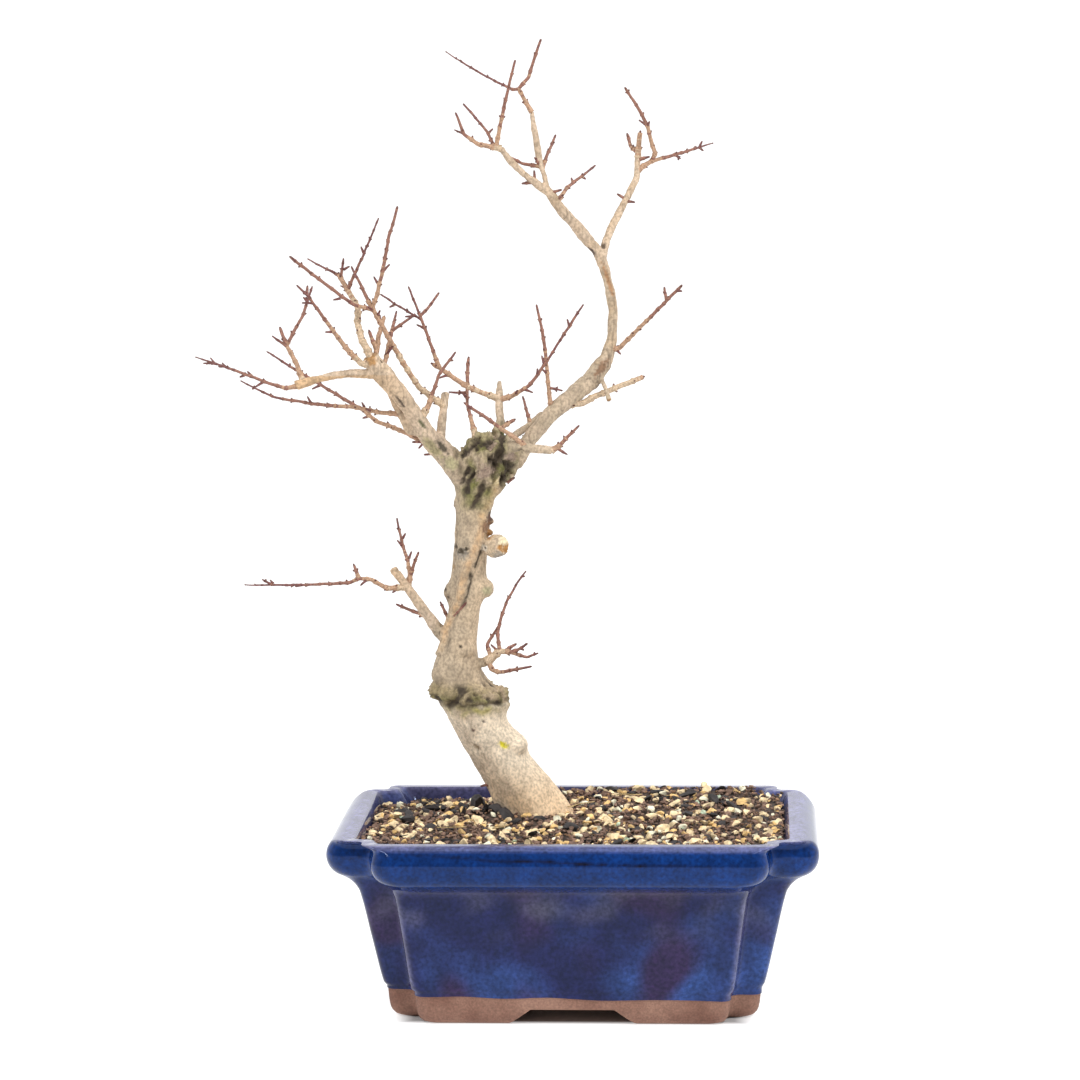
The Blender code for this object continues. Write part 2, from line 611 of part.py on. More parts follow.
def limb_line(root, limb):
    """Centre line of a limb as a list of (point, share of the length)."""
    total = sum(run[0] for run in limb["stretches"])
    place = root.copy()
    travelled = 0.0
    line = [(place.copy(), 0.0)]
    for length, first, last in limb["stretches"]:
        runs = max(math.ceil(abs(last - first) / SHARPEST_TURN), math.ceil(length / LONGEST_RUN))
        for run in range(runs):
            heading = first + (last - first) * (run + 0.5) / runs
            place += step_vector(heading, limb["lean"]) * (length / runs)
            travelled += length / runs
            line.append((place.copy(), travelled / total))
    return line


def spot_on(line, share):
    """Point and direction of a centre line at a share of its length."""
    for (low, low_share), (high, high_share) in zip(line, line[1:]):
        if share <= high_share or high_share >= 1:
            part = (share - low_share) / (high_share - low_share)
            return low.lerp(high, part), (high - low).normalized()
    return line[-1][0], (line[-1][0] - line[-2][0]).normalized()


def trim(line, girths, plane):
    """Centre line that starts on a plane (point, normal) instead of at the middle of its parent."""
    on_plane, normal = plane
    direction = (line[1][0] - line[0][0]).normalized()
    slope = direction.dot(normal)
    radius = girth_at(girths, 0) / 2
    root = line[0][0] + direction * ((on_plane - line[0][0]).dot(normal) / slope)
    first = root + direction * (radius * math.sqrt(max(1 - slope ** 2, 0)) / slope + 0.2)
    kept = [(point, share) for point, share in line if (point - first).dot(direction) > radius]
    whole = (first - root).length + sum(
        (high[0] - low[0]).length for low, high in zip([(first, 0)] + kept, kept))
    return [(root, 0.0), (first, (first - root).length / whole)] + kept


def tube_mesh(line, girths, sides, normal=None):
    """Closed tapering tube along a centre line, with a flat end.

    With a normal, the root lies flat on the plane of that normal, along its parent.
    """
    points = [point for point, share in line]
    across = None
    loops = []
    for index, (point, share) in enumerate(line):
        along = (points[min(index + 1, len(points) - 1)] - points[max(index - 1, 0)]).normalized()
        if normal and index == 1:
            along = (points[1] - points[0]).normalized()
        if across is None:
            across = along.cross(Vector((0.3, 1, 0.2))).normalized()
        across = (across - along * across.dot(along)).normalized()
        other = along.cross(across)
        radius = girth_at(girths, share) / 2
        loop = []
        for side in range(sides):
            angle = math.tau * side / sides
            corner = point + (across * math.cos(angle) + other * math.sin(angle)) * radius
            if normal and index == 0:
                corner += along * ((point - corner).dot(normal) / along.dot(normal))
            loop.append(corner)
        loops.append(loop)
    return mesh_from_loops("tube", loops)


def side_twigs(line, limb):
    """Tubes for all twigs that grow from a limb, and from each other."""
    tubes = []
    for side in limb["sides"]:
        side_line = limb_line(spot_on(line, side["along"])[0], side)
        tubes.append(tube_mesh(side_line, side["girths"], SIDE_TWIG_SIDES))
        tubes += side_twigs(side_line, side)
    return tubes


class Tree:
    """Centre lines of the trunk's arms and of every limb, by name."""

    def __init__(self):
        self.lines = {}
        self.limbs = {}

    def keep(self, name, line, limb):
        """Remember a limb so that others can grow from it."""
        self.lines[name] = line
        self.limbs[name] = limb

    def grow(self, name, parent, limb):
        """Centre line of a limb from its parent's flat end or side, and the plane it starts on."""
        direction = step_vector(limb["stretches"][0][1], limb["lean"]).normalized()
        if ":" in parent:
            before = parent if parent.startswith("arm:") else parent.split(":")[1]
            spot, normal = spot_on(self.lines[before], 1)
            plane = (spot + normal * CLEAR, normal)
        else:
            spot, along = spot_on(self.lines[parent], limb["along"])
            normal = (direction - along * direction.dot(along)).normalized()
            radius = girth_at(self.limbs[parent]["girths"], limb["along"]) / 2
            plane = (spot + normal * (radius + SIDE_CLEAR), normal)
        line = trim(limb_line(spot, limb), limb["girths"], plane)
        self.keep(name, line, limb)
        return line, normal

    def add_trunk(self):
        """Trunk from the soil to the top of its knob, with the arms that its limbs go on from."""
        first = TRUNK_STATIONS[0][0]
        last = TRUNK_STATIONS[-1][0]
        heights = [first + (last - first) * ring / (TRUNK_RINGS - 1) for ring in range(TRUNK_RINGS)]
        trunk = add_object("trunk", mesh_from_loops("trunk", [trunk_ring(height) for height in heights]))
        arms = []
        for name, (height, arm) in TRUNK_ARMS.items():
            x, y = smooth(TRUNK_STATIONS, height)[:2]
            line = limb_line(Vector((x, y, height)), arm)
            self.keep("arm:" + name, line, arm)
            arms.append(tube_mesh(line, arm["girths"], BOUGH_SIDES))
        apply_boolean(trunk, arms, "UNION")
        finish_object(trunk, "bark", 50)

    def add_bough(self, name, parent, limb):
        """One tapering bough, with the arms that other boughs go on from."""
        line, normal = self.grow(name, parent, limb)
        bough = add_object(name, tube_mesh(line, limb["girths"], BOUGH_SIDES, normal))
        arms = []
        for number, arm in enumerate(limb["sides"]):
            arm_line = limb_line(spot_on(line, arm["along"])[0], arm)
            self.keep(f"{name}/{number}", arm_line, arm)
            arms.append(tube_mesh(arm_line, arm["girths"], BOUGH_SIDES))
        if arms:
            apply_boolean(bough, arms, "UNION")
        finish_object(bough, "bark", 50)

    def add_mass(self, name, parent, limb):
        """One mass of twigs: a stem with its side twigs joined to it."""
        line, normal = self.grow(name, parent, limb)
        stem = add_object(name, tube_mesh(line, limb["girths"], TWIG_SIDES, normal))
        sides = side_twigs(line, limb)
        if sides:
            apply_boolean(stem, sides, "UNION")
        finish_object(stem, "twig", 60)


def move_to_origin():
    """Put the origin under the middle of the outer box."""
    meshes = [made.data for made in bpy.data.objects if made.type == "MESH"]
    corners = [vertex.co for mesh in meshes for vertex in mesh.vertices]
    low = Vector([min(corner[axis] for corner in corners) for axis in range(3)])
    high = Vector([max(corner[axis] for corner in corners) for axis in range(3)])
    shift = Vector(((low.x + high.x) / 2, (low.y + high.y) / 2, low.z))
    for mesh in meshes:
        for vertex in mesh.vertices:
            vertex.co -= shift


def main():
    for old in list(bpy.data.objects):
        bpy.data.objects.remove(old)
    build_pot()
    build_soil()
    tree = Tree()
    tree.add_trunk()
    for name, (parent, limb) in BOUGHS.items():
        tree.add_bough(name, parent, limb)
    for name, (parent, limb) in TWIG_MASSES.items():
        tree.add_mass(name, parent, limb)
    move_to_origin()


main()
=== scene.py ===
"""Looks of the potted maple: bark, twigs and buds, glazed pot, gravel, studio and camera.

Lengths are in millimetres from the middle of the pot's foot, by the rule and sizes of the part's
own source, until place() turns them into metres in the row frame.
"""
import math
import random

import bmesh
import bpy
import numpy as np
from mathutils import Matrix, Vector, noise


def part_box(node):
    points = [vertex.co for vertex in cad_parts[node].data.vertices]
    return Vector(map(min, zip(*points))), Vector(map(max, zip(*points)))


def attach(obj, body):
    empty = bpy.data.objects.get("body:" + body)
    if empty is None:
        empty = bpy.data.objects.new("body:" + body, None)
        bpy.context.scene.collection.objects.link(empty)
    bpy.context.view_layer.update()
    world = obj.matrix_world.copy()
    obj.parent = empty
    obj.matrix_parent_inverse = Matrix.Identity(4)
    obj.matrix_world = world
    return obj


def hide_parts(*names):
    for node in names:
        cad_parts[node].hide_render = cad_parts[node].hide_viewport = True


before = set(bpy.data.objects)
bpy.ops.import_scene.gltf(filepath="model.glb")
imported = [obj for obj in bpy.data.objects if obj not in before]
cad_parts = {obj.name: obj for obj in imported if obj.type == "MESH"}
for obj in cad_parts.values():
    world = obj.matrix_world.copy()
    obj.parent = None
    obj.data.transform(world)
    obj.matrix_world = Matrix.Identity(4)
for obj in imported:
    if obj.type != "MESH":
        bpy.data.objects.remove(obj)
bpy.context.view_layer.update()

MM = 0.001
SEED = 11
# Gaps that the solids leave between two limbs: at a flat end, and beside the parent
CLEAR = 0.3
SIDE_CLEAR = 0.45

# Pot: the rolled rim and its notches, then the foot's recess, drain holes and gates
POT_HEIGHT = 77.0
RIM_HALF_LENGTH = 100.0
RIM_HALF_DEPTH = 71.0
DEPTH_SHARE = 0.85
ROLL_WIDTH = 8.0
ROLL_DROP = 9.4
RIM_WIDEST = 69.0
ROLL_TURN = 155
ROLL_STEPS = 34
RIM_NOTCH = 20.0
TOP_NOTCH = 9.0
LOBE_SHARE = 0.45
RIM_CREASE_SHARE = 0.3
NOTCH_FADE = 5
LIP_INSET = 12.0
RECESS_HEIGHT = 7.0
ARC_STEPS = 12
CREASE_STEPS = 7
DRAIN_RADIUS = 6.0
DRAIN_SPACING = 64.0
DRAIN_SIDES = 32
GATE_HEIGHT = 6.6
GATE_SLOPE = 9.0
GATE_LENGTH = 52.0
GATE_DEPTH = 34.0
CUTTER_PAST = 2.0

# Levels of the recess, the outside and the inside: height, inset, notch, lobe and crease radius
RECESS_LEVELS = (
    (RECESS_HEIGHT, 37.5, 11.0, 4.0, 4.0),
    (1.0, 36.5, 11.0, 4.0, 4.0),
    (0.0, 35.5, 11.0, 4.0, 4.0),
)
BODY_LEVELS = (
    (0.0, 29.0, 11.4, 5.0, 4.0),
    (1.0, 26.4, 11.8, 5.4, 4.0),
    (4.0, 24.6, 12.2, 5.0, 4.0),
    (12.5, 23.4, 12.4, 4.6, 4.0),
    (15.0, 22.0, 12.4, 4.6, 4.0),
    (34.0, 17.6, 14.2, 4.8, 4.2),
    (53.0, 13.2, 16.0, 5.0, 4.5),
    (56.8, 10.8, 17.0, 6.0, 5.0),
    (58.9, 8.0, 18.6, 7.5, 5.5),
)
INNER_LEVELS = (
    (POT_HEIGHT, LIP_INSET, 9.0, 4.4, 4.0),
    (75.5, 13.2, 9.2, 4.4, 4.0),
    (69.0, 15.2, 12.0, 4.4, 4.0),
    (53.0, 19.4, 14.8, 4.4, 4.0),
    (14.0, 28.6, 11.4, 4.2, 4.0),
    (11.0, 31.0, 11.0, 4.0, 4.0),
)

# Soil: heights at the trunk and at the wall, how much lower it lies at the back, then its mesh
SOIL_PATCH = 77.0
SOIL_EDGE = 73.4
SOIL_FALL = 1.9
WALL_CLEAR = 0.36
BED_RINGS = 44
BED_BELOW = 0.8
BED_BUMP = 0.5
BED_COLOUR = (0.06, 0.038, 0.028)
# Heaps of the soil: where the right one starts and how it rises, then the one beside the trunk
HEAP_START = -45
HEAP_LENGTH = 50
HEAP_RISE = 5.4
SIDE_HEAP = (-35.0, 1.0)
SIDE_REACH = 10.0
SIDE_RISE = 3.2

# Trunk: height, middle across, middle in depth, half width, half depth
TRUNK_STATIONS = (
    (SOIL_PATCH + CLEAR, -18, 10, 15.5, 13.5),
    (83, -21, 9.5, 15, 13),
    (90, -25, 8.5, 14, 12.5),
    (101, -32.5, 7.5, 12.5, 12),
    (114, -40, 6, 12, 11.5),
    (127, -45, 5, 12, 11.5),
    (137, -49, 4, 10, 10),
    (146, -49, 3.5, 8, 8.5),
    (162, -46, 3, 6.5, 7),
    (181, -43.5, 2.5, 7, 7),
    (199, -42, 2, 7, 7),
    (210, -40.5, 1.5, 8, 7.5),
    (217, -39, 1, 10, 8.5),
    (222, -35, 0.5, 11, 9.5),
    (229, -34, 0, 11.5, 9.5),
    (233, -33.5, 0, 8.5, 7),
    (235, -34, 0, 4, 4),
)
# Swellings: height, side in degrees from +X, how proud, spread in height, spread in degrees
TRUNK_SWELLS = (
    (107.5, 0, 3, 4, 45),
    (124, 0, 3.5, 4.5, 60),
    (128, 180, 2, 4.5, 60),
    (126, 270, 2, 4.5, 80),
    (126, 90, 2, 4.5, 80),
    (170.5, 180, 3, 4, 50),
    (171.5, 0, 4, 3.5, 45),
    (207.5, 180, 1, 2, 40),
    (226, 250, 1.5, 3.5, 40),
)
ROOT_LOBES = 5
ROOT_LOBE_DEPTH = 0.07
ROOT_LOBE_REACH = 9.0
ROOT_LOBE_TURN = 0.8
# Mesh of the trunk, how far it goes down into the soil, and where its own bark ends
TRUNK_SIDES = 64
TRUNK_RINGS = 180
TRUNK_SUNK = 3
TRUNK_TOP = 216

# Headings are degrees clockwise from straight up, as seen from the front and a little above.
# Leans are degrees away from the front. Lengths are as seen from there.
VIEW_TURN = 3.2
VIEW_DROP = 7.2
LONGEST_RUN = 9.0
SHARPEST_TURN = 16.0


def twig(along, lean, girths, *stretches, sides=()):
    """One limb: where it leaves its parent (0 to 1), its lean, its girths spaced evenly from
    root to tip, and its stretches as (length, heading) or (length, first, last heading)."""
    runs = [(run[0], run[1], run[-1]) for run in stretches]
    return {"along": along, "lean": lean, "girths": girths, "stretches": runs, "sides": sides}


# Short arms of the trunk that its limbs go on from: height on the trunk, then the arm
TRUNK_ARMS = {
    "low_left": (147.0, twig(0, -10, (8.0, 5.2), (11.1, -48))),
    "low_right": (138.5, twig(0, -22, (5.5, 3.6), (12.6, 80))),
    "left": (214.0, twig(0, -14, (14.0, 10.4), (14.3, -44))),
    "right": (214.5, twig(0, 20, (13.0, 7.8), (18, 58))),
    "centre": (228.0, twig(0, 8, (6.0, 3.8), (8.4, 27))),
    "centre_left": (226.0, twig(0, 6, (4.5, 3.0), (10.4, -34))),
    "front": (226.0, twig(0, -48, (6.0, 4.4), (9.5, 62))),
    "cross": (227.0, twig(0, 45, (5.0, 3.2), (11.5, 50))),
    "cut": (189.5, twig(0, -40, (4.0, 4.0, 4.0, 4.2, 4.6, 5.6, 8.4, 9.6, 9.8, 9.0, 7.0), (14, 92))),
}

# Boughs: what each one grows from, then the limb. "arm" and "tip" mean from the flat end.
# The side of a bough is a short arm that another bough goes on from.
BOUGHS = {
    "bough_low_left": ("arm:low_left", twig(0, -12, (5.0, 4.0, 3.5, 3.0), (31.2, -35))),
    "bough_left": ("arm:left", twig(
        0, -18, (10.0, 8.8, 7.3, 6.8, 7.2, 8.4, 6.4),
        (14.6, -43), (13.5, -31), (21.2, -38, -40), (4.8, -31))),
    "bough_left_inner": ("bough_left", twig(
        0.31, 2, (4.4, 3.8, 3.2), (6, -85), (12.1, -28), (7.2, -24))),
    "bough_left_arm": ("bough_left", twig(
        0.83, -14, (4.2, 3.5, 3.2, 3.0, 3.8), (13.6, -86, -88), (14.3, -97, -104), (7.9, -110))),
    "stub_left": ("bough_left", twig(0.14, 12, (4.2, 3.6, 3.3), (23.3, 6))),
    "bough_centre": ("arm:centre", twig(0, 12, (3.6, 3.4, 3.3, 1.7), (15.7, 0), (6.6, 0))),
    "bough_front": ("arm:front", twig(0, -6, (4.2, 3.4), (16.9, 96))),
    "bough_cross": ("arm:cross", twig(0, 42, (3.0, 2.6), (16.5, 51))),
    "bough_right": ("arm:right", twig(
        0, 17, (7.2, 6.4, 6.4, 6.8, 7.2, 7.8, 7.0),
        (11.2, 34), (14.8, 40), (21.6, 50), (9.6, 38))),
    "bough_right_upper": ("tip:bough_right", twig(
        0, -3, (6.0, 4.2, 3.9, 3.9, 4.2, 4.8), (9.7, 22, 12), (12.7, 4), (11.1, -10),
        (14.2, -18), (4.4, -42), sides=(twig(0.83, 20, (3.6, 3.5), (9.5, 15)),))),
    "bough_top_left": ("tip:bough_right_upper", twig(
        0, -20, (4.8, 4.6, 4.2, 3.3, 2.8, 2.5),
        (20.3, -42), (5.6, -34), (11, -55), (6.2, -50), (10, -40))),
    "bough_top_right": ("tip:bough_right_upper/0", twig(
        0, 20, (3.4, 3.2, 3.1, 2.8, 2.6, 2.4), (5, 22), (24.3, 27), (9.3, 8, 2))),
    "bough_top_upright": ("bough_top_left", twig(
        0.50, -2, (2.1, 2.0, 2.6, 2.4, 1.9), (11.9, -13, -18), (22.4, -11, -8))),
    "stub_right": ("bough_right", twig(0.93, -40, (1.7, 2.1), (13.9, 164))),
}

# Twig masses: what each stem grows from, then the stem with its side twigs
TWIG_MASSES = {
    "twigs_low_left_long": ("bough_low_left", twig(
        0.68, -12, (2.4, 1.8, 1.4, 1.1, 0.9, 0.5),
        (8.6, -91), (7.2, -59), (5, -85), (4.1, -114), (31.9, -93, -89), (10.3, -89), sides=(
            twig(0.31, 10, (1.7, 1.0), (5.8, -20)),
            twig(0.84, -25, (1.0, 0.7), (4.2, -60))))),
    "twigs_low_left_up": ("bough_low_left", twig(
        0.66, 24, (2.4, 1.6, 1.3, 0.8), (5.4, 6), (6.2, -8), (17.9, -20, -9), sides=(
            twig(0.16, -20, (1.6, 1.0), (10.2, 21)),))),
    "twigs_low_left_side": ("bough_low_left", twig(0.19, 22, (1.8, 1.0), (14.2, -68))),
    "twigs_low_right": ("arm:low_right", twig(
        0, -14, (3.4, 2.6, 1.8, 1.3, 0.8), (7.1, 50), (3.7, 96), (7.8, 108), (4.5, 68), sides=(
            twig(0.10, 16, (1.7, 1.4, 0.9), (5.5, -20), (8.7, 31)),
            twig(0.0, -24, (1.9, 1.5, 0.9), (4.4, 148), (2.6, 106), (13.0, 83, 76)),
            twig(0.30, 10, (1.5, 1.2, 0.7), (7.5, -6), (27.9, 10, 40)),
            twig(0.28, 30, (1.2, 0.8), (3.8, -49)),
            twig(0.38, 26, (1.5, 1.2), (5.2, 61)),
            twig(0.50, -30, (1.4, 1.0), (3, 74), (4.5, 56))))),
    "twigs_left_under": ("bough_left", twig(
        0.20, 22, (2.0, 1.8, 1.6, 1.3, 1.2, 0.7),
        (7.1, -80), (5, -55), (13.3, -66, -71), (8.5, -51), (47.5, -59, -57))),
    "twigs_left_mid": ("bough_left_inner", twig(
        0.52, -4, (2.0, 1.7, 1.6, 1.3, 1.0, 0.6),
        (9.6, -83), (9.3, -77), (7.4, -87), (26.2, -84, -79), (14.8, -66, -61))),
    "twigs_diagonal": ("stub_left", twig(
        0.75, -20, (2.4, 2.3, 2.2, 2.0, 1.7, 1.6, 1.3, 1.1),
        (12.8, -52), (8.4, -33), (27.9, -30, -28), (7.4, 19), (21.6, 15, 11), (11.9, 18), sides=(
            twig(0.545, 6, (1.7, 0.9), (18.8, -26)),
            twig(0.54, -6, (1.6, 1.4, 1.4, 1.2), (8.1, -75), (31.6, -54, -51))))),
    "twigs_knob": ("bough_left", twig(
        0.40, -8, (3.7, 2.2, 1.5, 1.3, 1.2, 0.9), (7.4, 34), (8, 20), (5.2, 18), (10.9, 36, 39))),
    "twigs_head_left": ("bough_left", twig(
        0.94, -26, (2.6, 2.2, 1.8, 1.5, 1.2, 0.8),
        (5.4, -92), (9.9, -42), (23.2, -35), (5.8, -45), sides=(
            twig(0.89, 20, (1.1, 1.0), (3, 4)),
            twig(0.80, -20, (0.9, 0.8), (3.8, -90))))),
    "twigs_head_up": ("bough_left", twig(
        0.95, 16, (3.0, 2.6, 2.5, 2.2, 1.8),
        (10.7, -27), (6.8, -14), (6.6, 0), (16.1, -31, -27), sides=(
            twig(0.81, -22, (1.4, 1.0, 0.7), (30.9, 27, 24)),
            twig(0.97, 30, (1.2, 0.9, 0.6), (15.5, -60)),
            twig(0.96, -24, (1.2, 0.9), (7.1, 10)),
            twig(0.82, 24, (0.9, 0.6), (2.6, -61))))),
    "twigs_head_mid": ("bough_left", twig(
        0.94, 34, (2.2, 2.0, 1.7), (11.3, 8), (8.5, 14), sides=(
            twig(0.28, -10, (1.7, 1.4), (7.8, -20)),))),
    "twigs_head_right": ("bough_left", twig(
        0.84, 30, (2.0, 1.8, 1.7, 1.4, 0.8), (26.5, 10, 13), sides=(
            twig(0.70, -6, (1.3, 1.0), (9.5, 60, 52)),
            twig(0.30, -40, (1.2, 0.9), (3.6, 40))))),
    "twigs_left_far": ("tip:bough_left_arm", twig(
        0, -10, (1.8, 1.4, 1.2, 1.1, 0.9, 0.5),
        (4.1, -100), (6.3, -75), (22.8, -68, -70), (8.4, -72), sides=(
            twig(0.80, -30, (0.9, 0.7), (4.8, -88)),
            twig(0.82, 26, (0.8, 0.6), (2.4, -38)),
            twig(0.70, 20, (0.8, 0.6), (2.2, -45))))),
    "twigs_left_far_up": ("bough_left_arm", twig(
        0.91, 14, (2.2, 1.9, 1.6, 1.3, 1.2, 0.8),
        (8, -19), (9.2, -29), (12.9, 25, 31), (13.2, 20, 16), sides=(
            twig(0.40, 30, (1.5, 1.3), (7.5, -22)),
            twig(0.395, -24, (1.2, 0.7), (6.4, -55))))),
    "twigs_centre_up": ("arm:centre_left", twig(
        0, 22, (2.6, 1.7, 1.2, 1.4, 1.6, 1.2), (13.7, -15), (19.9, -1, 4), sides=(
            twig(0.57, 16, (1.2, 0.8), (7.1, -87)),))),
    "twigs_centre_left": ("bough_centre", twig(
        0.67, -8, (2.5, 2.2, 2.1, 2.0, 1.6), (14.1, -69), (17, -54, -58), sides=(
            twig(0.90, -10, (1.8, 1.4, 1.3, 1.0, 0.8), (34.8, -18, -22), sides=(
                twig(0.60, 20, (1.0, 0.8), (19.8, -60, -54)),
                twig(0.65, 14, (1.2, 1.0), (3.8, 49), (8, 35)))),))),
    "twigs_centre_right": ("bough_centre", twig(
        0.66, -16, (2.2, 1.6, 1.4, 1.1, 1.0, 1.2, 0.7), (5.1, 76), (8.5, 60), (4.4, 41), (34.8, 34))),
    "twigs_behind": ("bough_centre", twig(0.10, 20, (1.8, 1.5), (6.9, 57))),
    "twigs_front_left": ("bough_front", twig(
        0.42, -14, (2.0, 1.7, 1.4, 1.0), (31, -52, -57))),
    "twigs_front_right": ("tip:bough_front", twig(
        0, -14, (2.4, 1.6, 1.3, 0.9), (2.8, 65), (11.7, 45), sides=(
            twig(0.15, 20, (1.3, 0.8), (4.6, 122)),))),
    "twigs_cross": ("bough_cross", twig(0.60, 16, (1.7, 1.2, 1.0), (11.2, -15))),
    "twigs_right_inner": ("bough_right", twig(
        0.455, -8, (2.1, 1.7, 1.6, 1.5, 1.3, 1.0), (9.9, -7), (19.2, -4, -6), (15.2, -9, -13), sides=(
            twig(0.24, 0, (1.1, 0.8), (5.3, 104)),))),
    "twigs_right_out": ("bough_right", twig(0.55, 12, (2.7, 2.4, 2.2), (6, 88), (30.3, 68))),
    "twigs_right_mid": ("bough_right_upper", twig(
        0.10, -24, (2.0, 1.8, 1.6, 1.4, 1.2), (4.4, 85), (35.2, 46), sides=(
            twig(0.80, 20, (1.3, 1.0), (5.2, -10)),))),
    "twigs_top_left": ("tip:bough_top_left", twig(
        0, -12, (2.4, 1.9, 1.7, 1.3, 1.0), (9.4, -80), (7.2, -55), (8.5, -20), sides=(
            twig(0.09, 24, (1.3, 1.1, 0.9), (7.7, -24), (15.2, -39)),
            twig(0.07, -16, (1.7, 1.6, 1.3, 1.0), (8.1, 12), (26.9, 12, 16)),
            twig(0.66, 26, (0.8, 0.6), (3.9, -63))))),
    "twigs_arch": ("bough_top_upright", twig(
        0.33, 4, (1.6, 1.3, 1.0), (7.9, -80), (7.6, -63), (3, -40))),
    "twigs_upright_side": ("bough_top_upright", twig(0.31, 26, (1.6, 1.3, 1.0), (15, 22))),
    "twigs_top": ("tip:bough_top_upright", twig(
        0, -10, (1.8, 1.6, 1.5, 1.3, 1.1), (10.8, -30), (6.4, 43), (15.3, 17, 20), sides=(
            twig(0.33, 20, (1.2, 0.9, 0.8, 0.4), (2.2, -95), (32.7, -62, -54)),))),
    "twigs_top_inner": ("bough_top_left", twig(0.40, 30, (1.8, 1.5, 1.2, 0.8), (8.2, 32), (15.4, 50))),
    "twigs_top_right_end": ("tip:bough_top_right", twig(
        0, -10, (2.3, 2.1, 2.1), (10.3, 6), sides=(
            twig(0.16, 26, (1.6, 1.3), (4.2, -45), (5.4, -16)),))),
    "twigs_top_right_out": ("bough_top_right", twig(
        0.84, 14, (2.0, 1.8, 1.5, 1.3, 1.0, 0.5), (4.5, 49), (3.4, 60), (26.9, 75, 71), sides=(
            twig(0.23, -30, (1.7, 1.7, 1.4, 1.1), (3.3, 23), (11.6, -20, -14), (16.8, -28, -37)),))),
}


# Camera of the photo: its place, its turn from straight back, its drop and roll in degrees
CAMERA_PLACE = (74.6, -1561.5, 388.5)
CAMERA_TURN = -3.25
CAMERA_DROP = 7.16
CAMERA_ROLL = -0.56
FOCAL_PIXELS = 3826
PICTURE_PIXELS = 1080
SENSOR = 36.0

# Wood: cells of its skin, steps and sides of its limbs, and the rings that swell on a bough
VOXEL = 0.55
BOUGH_STEP = 0.8
BOUGH_SIDES = 20
BOUGH_SOFTENING = 2.5
RING_SWELL = 0.07
RING_SPACING = 2.2
# Sideways wander of limbs: how far, spacing, number of the pattern
BOUGH_WAVE = (0.35, 7, 1)
VEIN_WAVE = (1.3, 6, 3)
TWIG_WAVE = (0.22, 4.5, 5)

# Lumps on the front of the trunk: height, distance to the right of its middle, radius
LUMP_SUNK = 0.55
LUMPS = (
    (147, 3.5, 4.2), (136, -6.2, 4.8), (131, -10.5, 2.6), (126, -13.5, 1.6), (126.5, 13, 3.6),
    (105.5, 10, 5.2), (171.5, -5.5, 3.6), (171.5, 7.5, 3.8), (207, -7, 1.8), (190, 6, 2.4),
    (200, 7.2, 1.7), (195, 7.6, 1.5), (226, -1, 4.4), (229, 6, 3.6), (224, -8, 3.8),
    (219, 8, 3.2), (231, -6, 3.0), (233, 1, 2.4), (234.5, -4, 2.0),
)
# Raised vein on the front of the trunk: heights and distances to the right
VEIN = (
    (144, -7.5), (151, -6.2), (160, -5), (170, -2.2), (181, 0), (192, 3), (203, 4.6), (211, 6.2),
    (218, 8.4),
)
VEIN_RADIUS = 2.4
VEIN_SIDES = 14
# Rifts in the trunk: where each starts and ends as (height, distance to the right), half width
RIFTS = (
    ((227.5, -11.0), (234.0, -5.0), 1.0),
    ((222.5, -8.0), (216.5, -6.2), 0.9),
    ((220.5, -4.4), (213.0, -3.6), 1.0),
    ((235.0, 4.6), (225.0, 5.2), 0.9),
    ((227.0, 0.8), (223.5, 3.2), 1.5),
    ((224.5, 8.0), (217.5, 10.0), 1.4),
    ((229.5, 13.2), (220.5, 12.4), 1.1),
    ((214.5, 3.2), (206.0, -0.8), 1.0),
    ((187.5, 4.3), (181.0, 2.6), 0.28),
    ((177.5, 2.0), (168.5, 0.5), 0.32),
)
# Relief of the bark: depths in millimetres, grains in turns for each millimetre
RIDGE_DEPTH = 0.14
RIDGE_GRAIN = 0.45
GRIT_DEPTH = 0.10
GRIT_GRAIN = 1.1
WAVE_DEPTH = 0.3
WAVE_GRAIN = 0.16
CRACK_DEPTH = 0.35
CRACK_GRAIN = 0.22
FOOT_CRACKS = 0.2
# Seam below the collar, crags of the knob and of the collar, and a tongue of moss below the knob
SEAM_HEIGHT = 124.3
SEAM_DEPTH = 1.1
KNOB = (-34.0, 0.0, 227.0)
KNOB_REACH = 13.5
KNOB_CRAGS = 2.2
KNOB_GRAIN = 0.24
COLLAR_CRAGS = 1.2
COLLAR_GRAIN = 0.22
MOSS_TONGUE = (-40.0, -7.0, 213.0)
TONGUE_REACH = 8
# Fractal of the crags: dimension, lacunarity, octaves, offset, gain
CRAG_FRACTAL = (0.9, 2.1, 5, 0.9, 2.0)

# Colours of the wood
PALE_BARK = (0.76, 0.635, 0.48)
WARM_BARK = (0.84, 0.62, 0.40)
# Darker bark for random patches of the foot and for the painted shade on its left side
PATCH_AND_SHADE_BARK = (0.55, 0.43, 0.31)
# Grey bark, also used for the painted shade on the upper trunk's left side
GREY_BARK = (0.44, 0.345, 0.24)
UPPER_BARK = (0.56, 0.425, 0.285)
BOUGH_BARK = (0.58, 0.445, 0.32)
TAN_BARK = (0.56, 0.37, 0.21)
MOSS = (0.17, 0.16, 0.045)
# Dark of the bark, also used for painted shade in clefts, in the seam's groove and beside the vein
DARK_BARK_AND_SHADE = (0.07, 0.05, 0.03)
CUT_BROWN = (0.36, 0.21, 0.10)
CUT_PALE = (0.74, 0.60, 0.43)
CUT_GREY = (0.50, 0.42, 0.32)
LICHEN = (0.46, 0.40, 0.14)
COLLAR_BARK = (0.34, 0.265, 0.145)
KNOB_WOOD = (0.42, 0.31, 0.235)
STUB_ORANGE = (0.37, 0.175, 0.045)
# Limbs that end in a saw cut
CUT_ENDS = {"bough_left": CUT_BROWN, "stub_left": CUT_GREY, "arm:cut": CUT_PALE, "stub_right": CUT_BROWN}
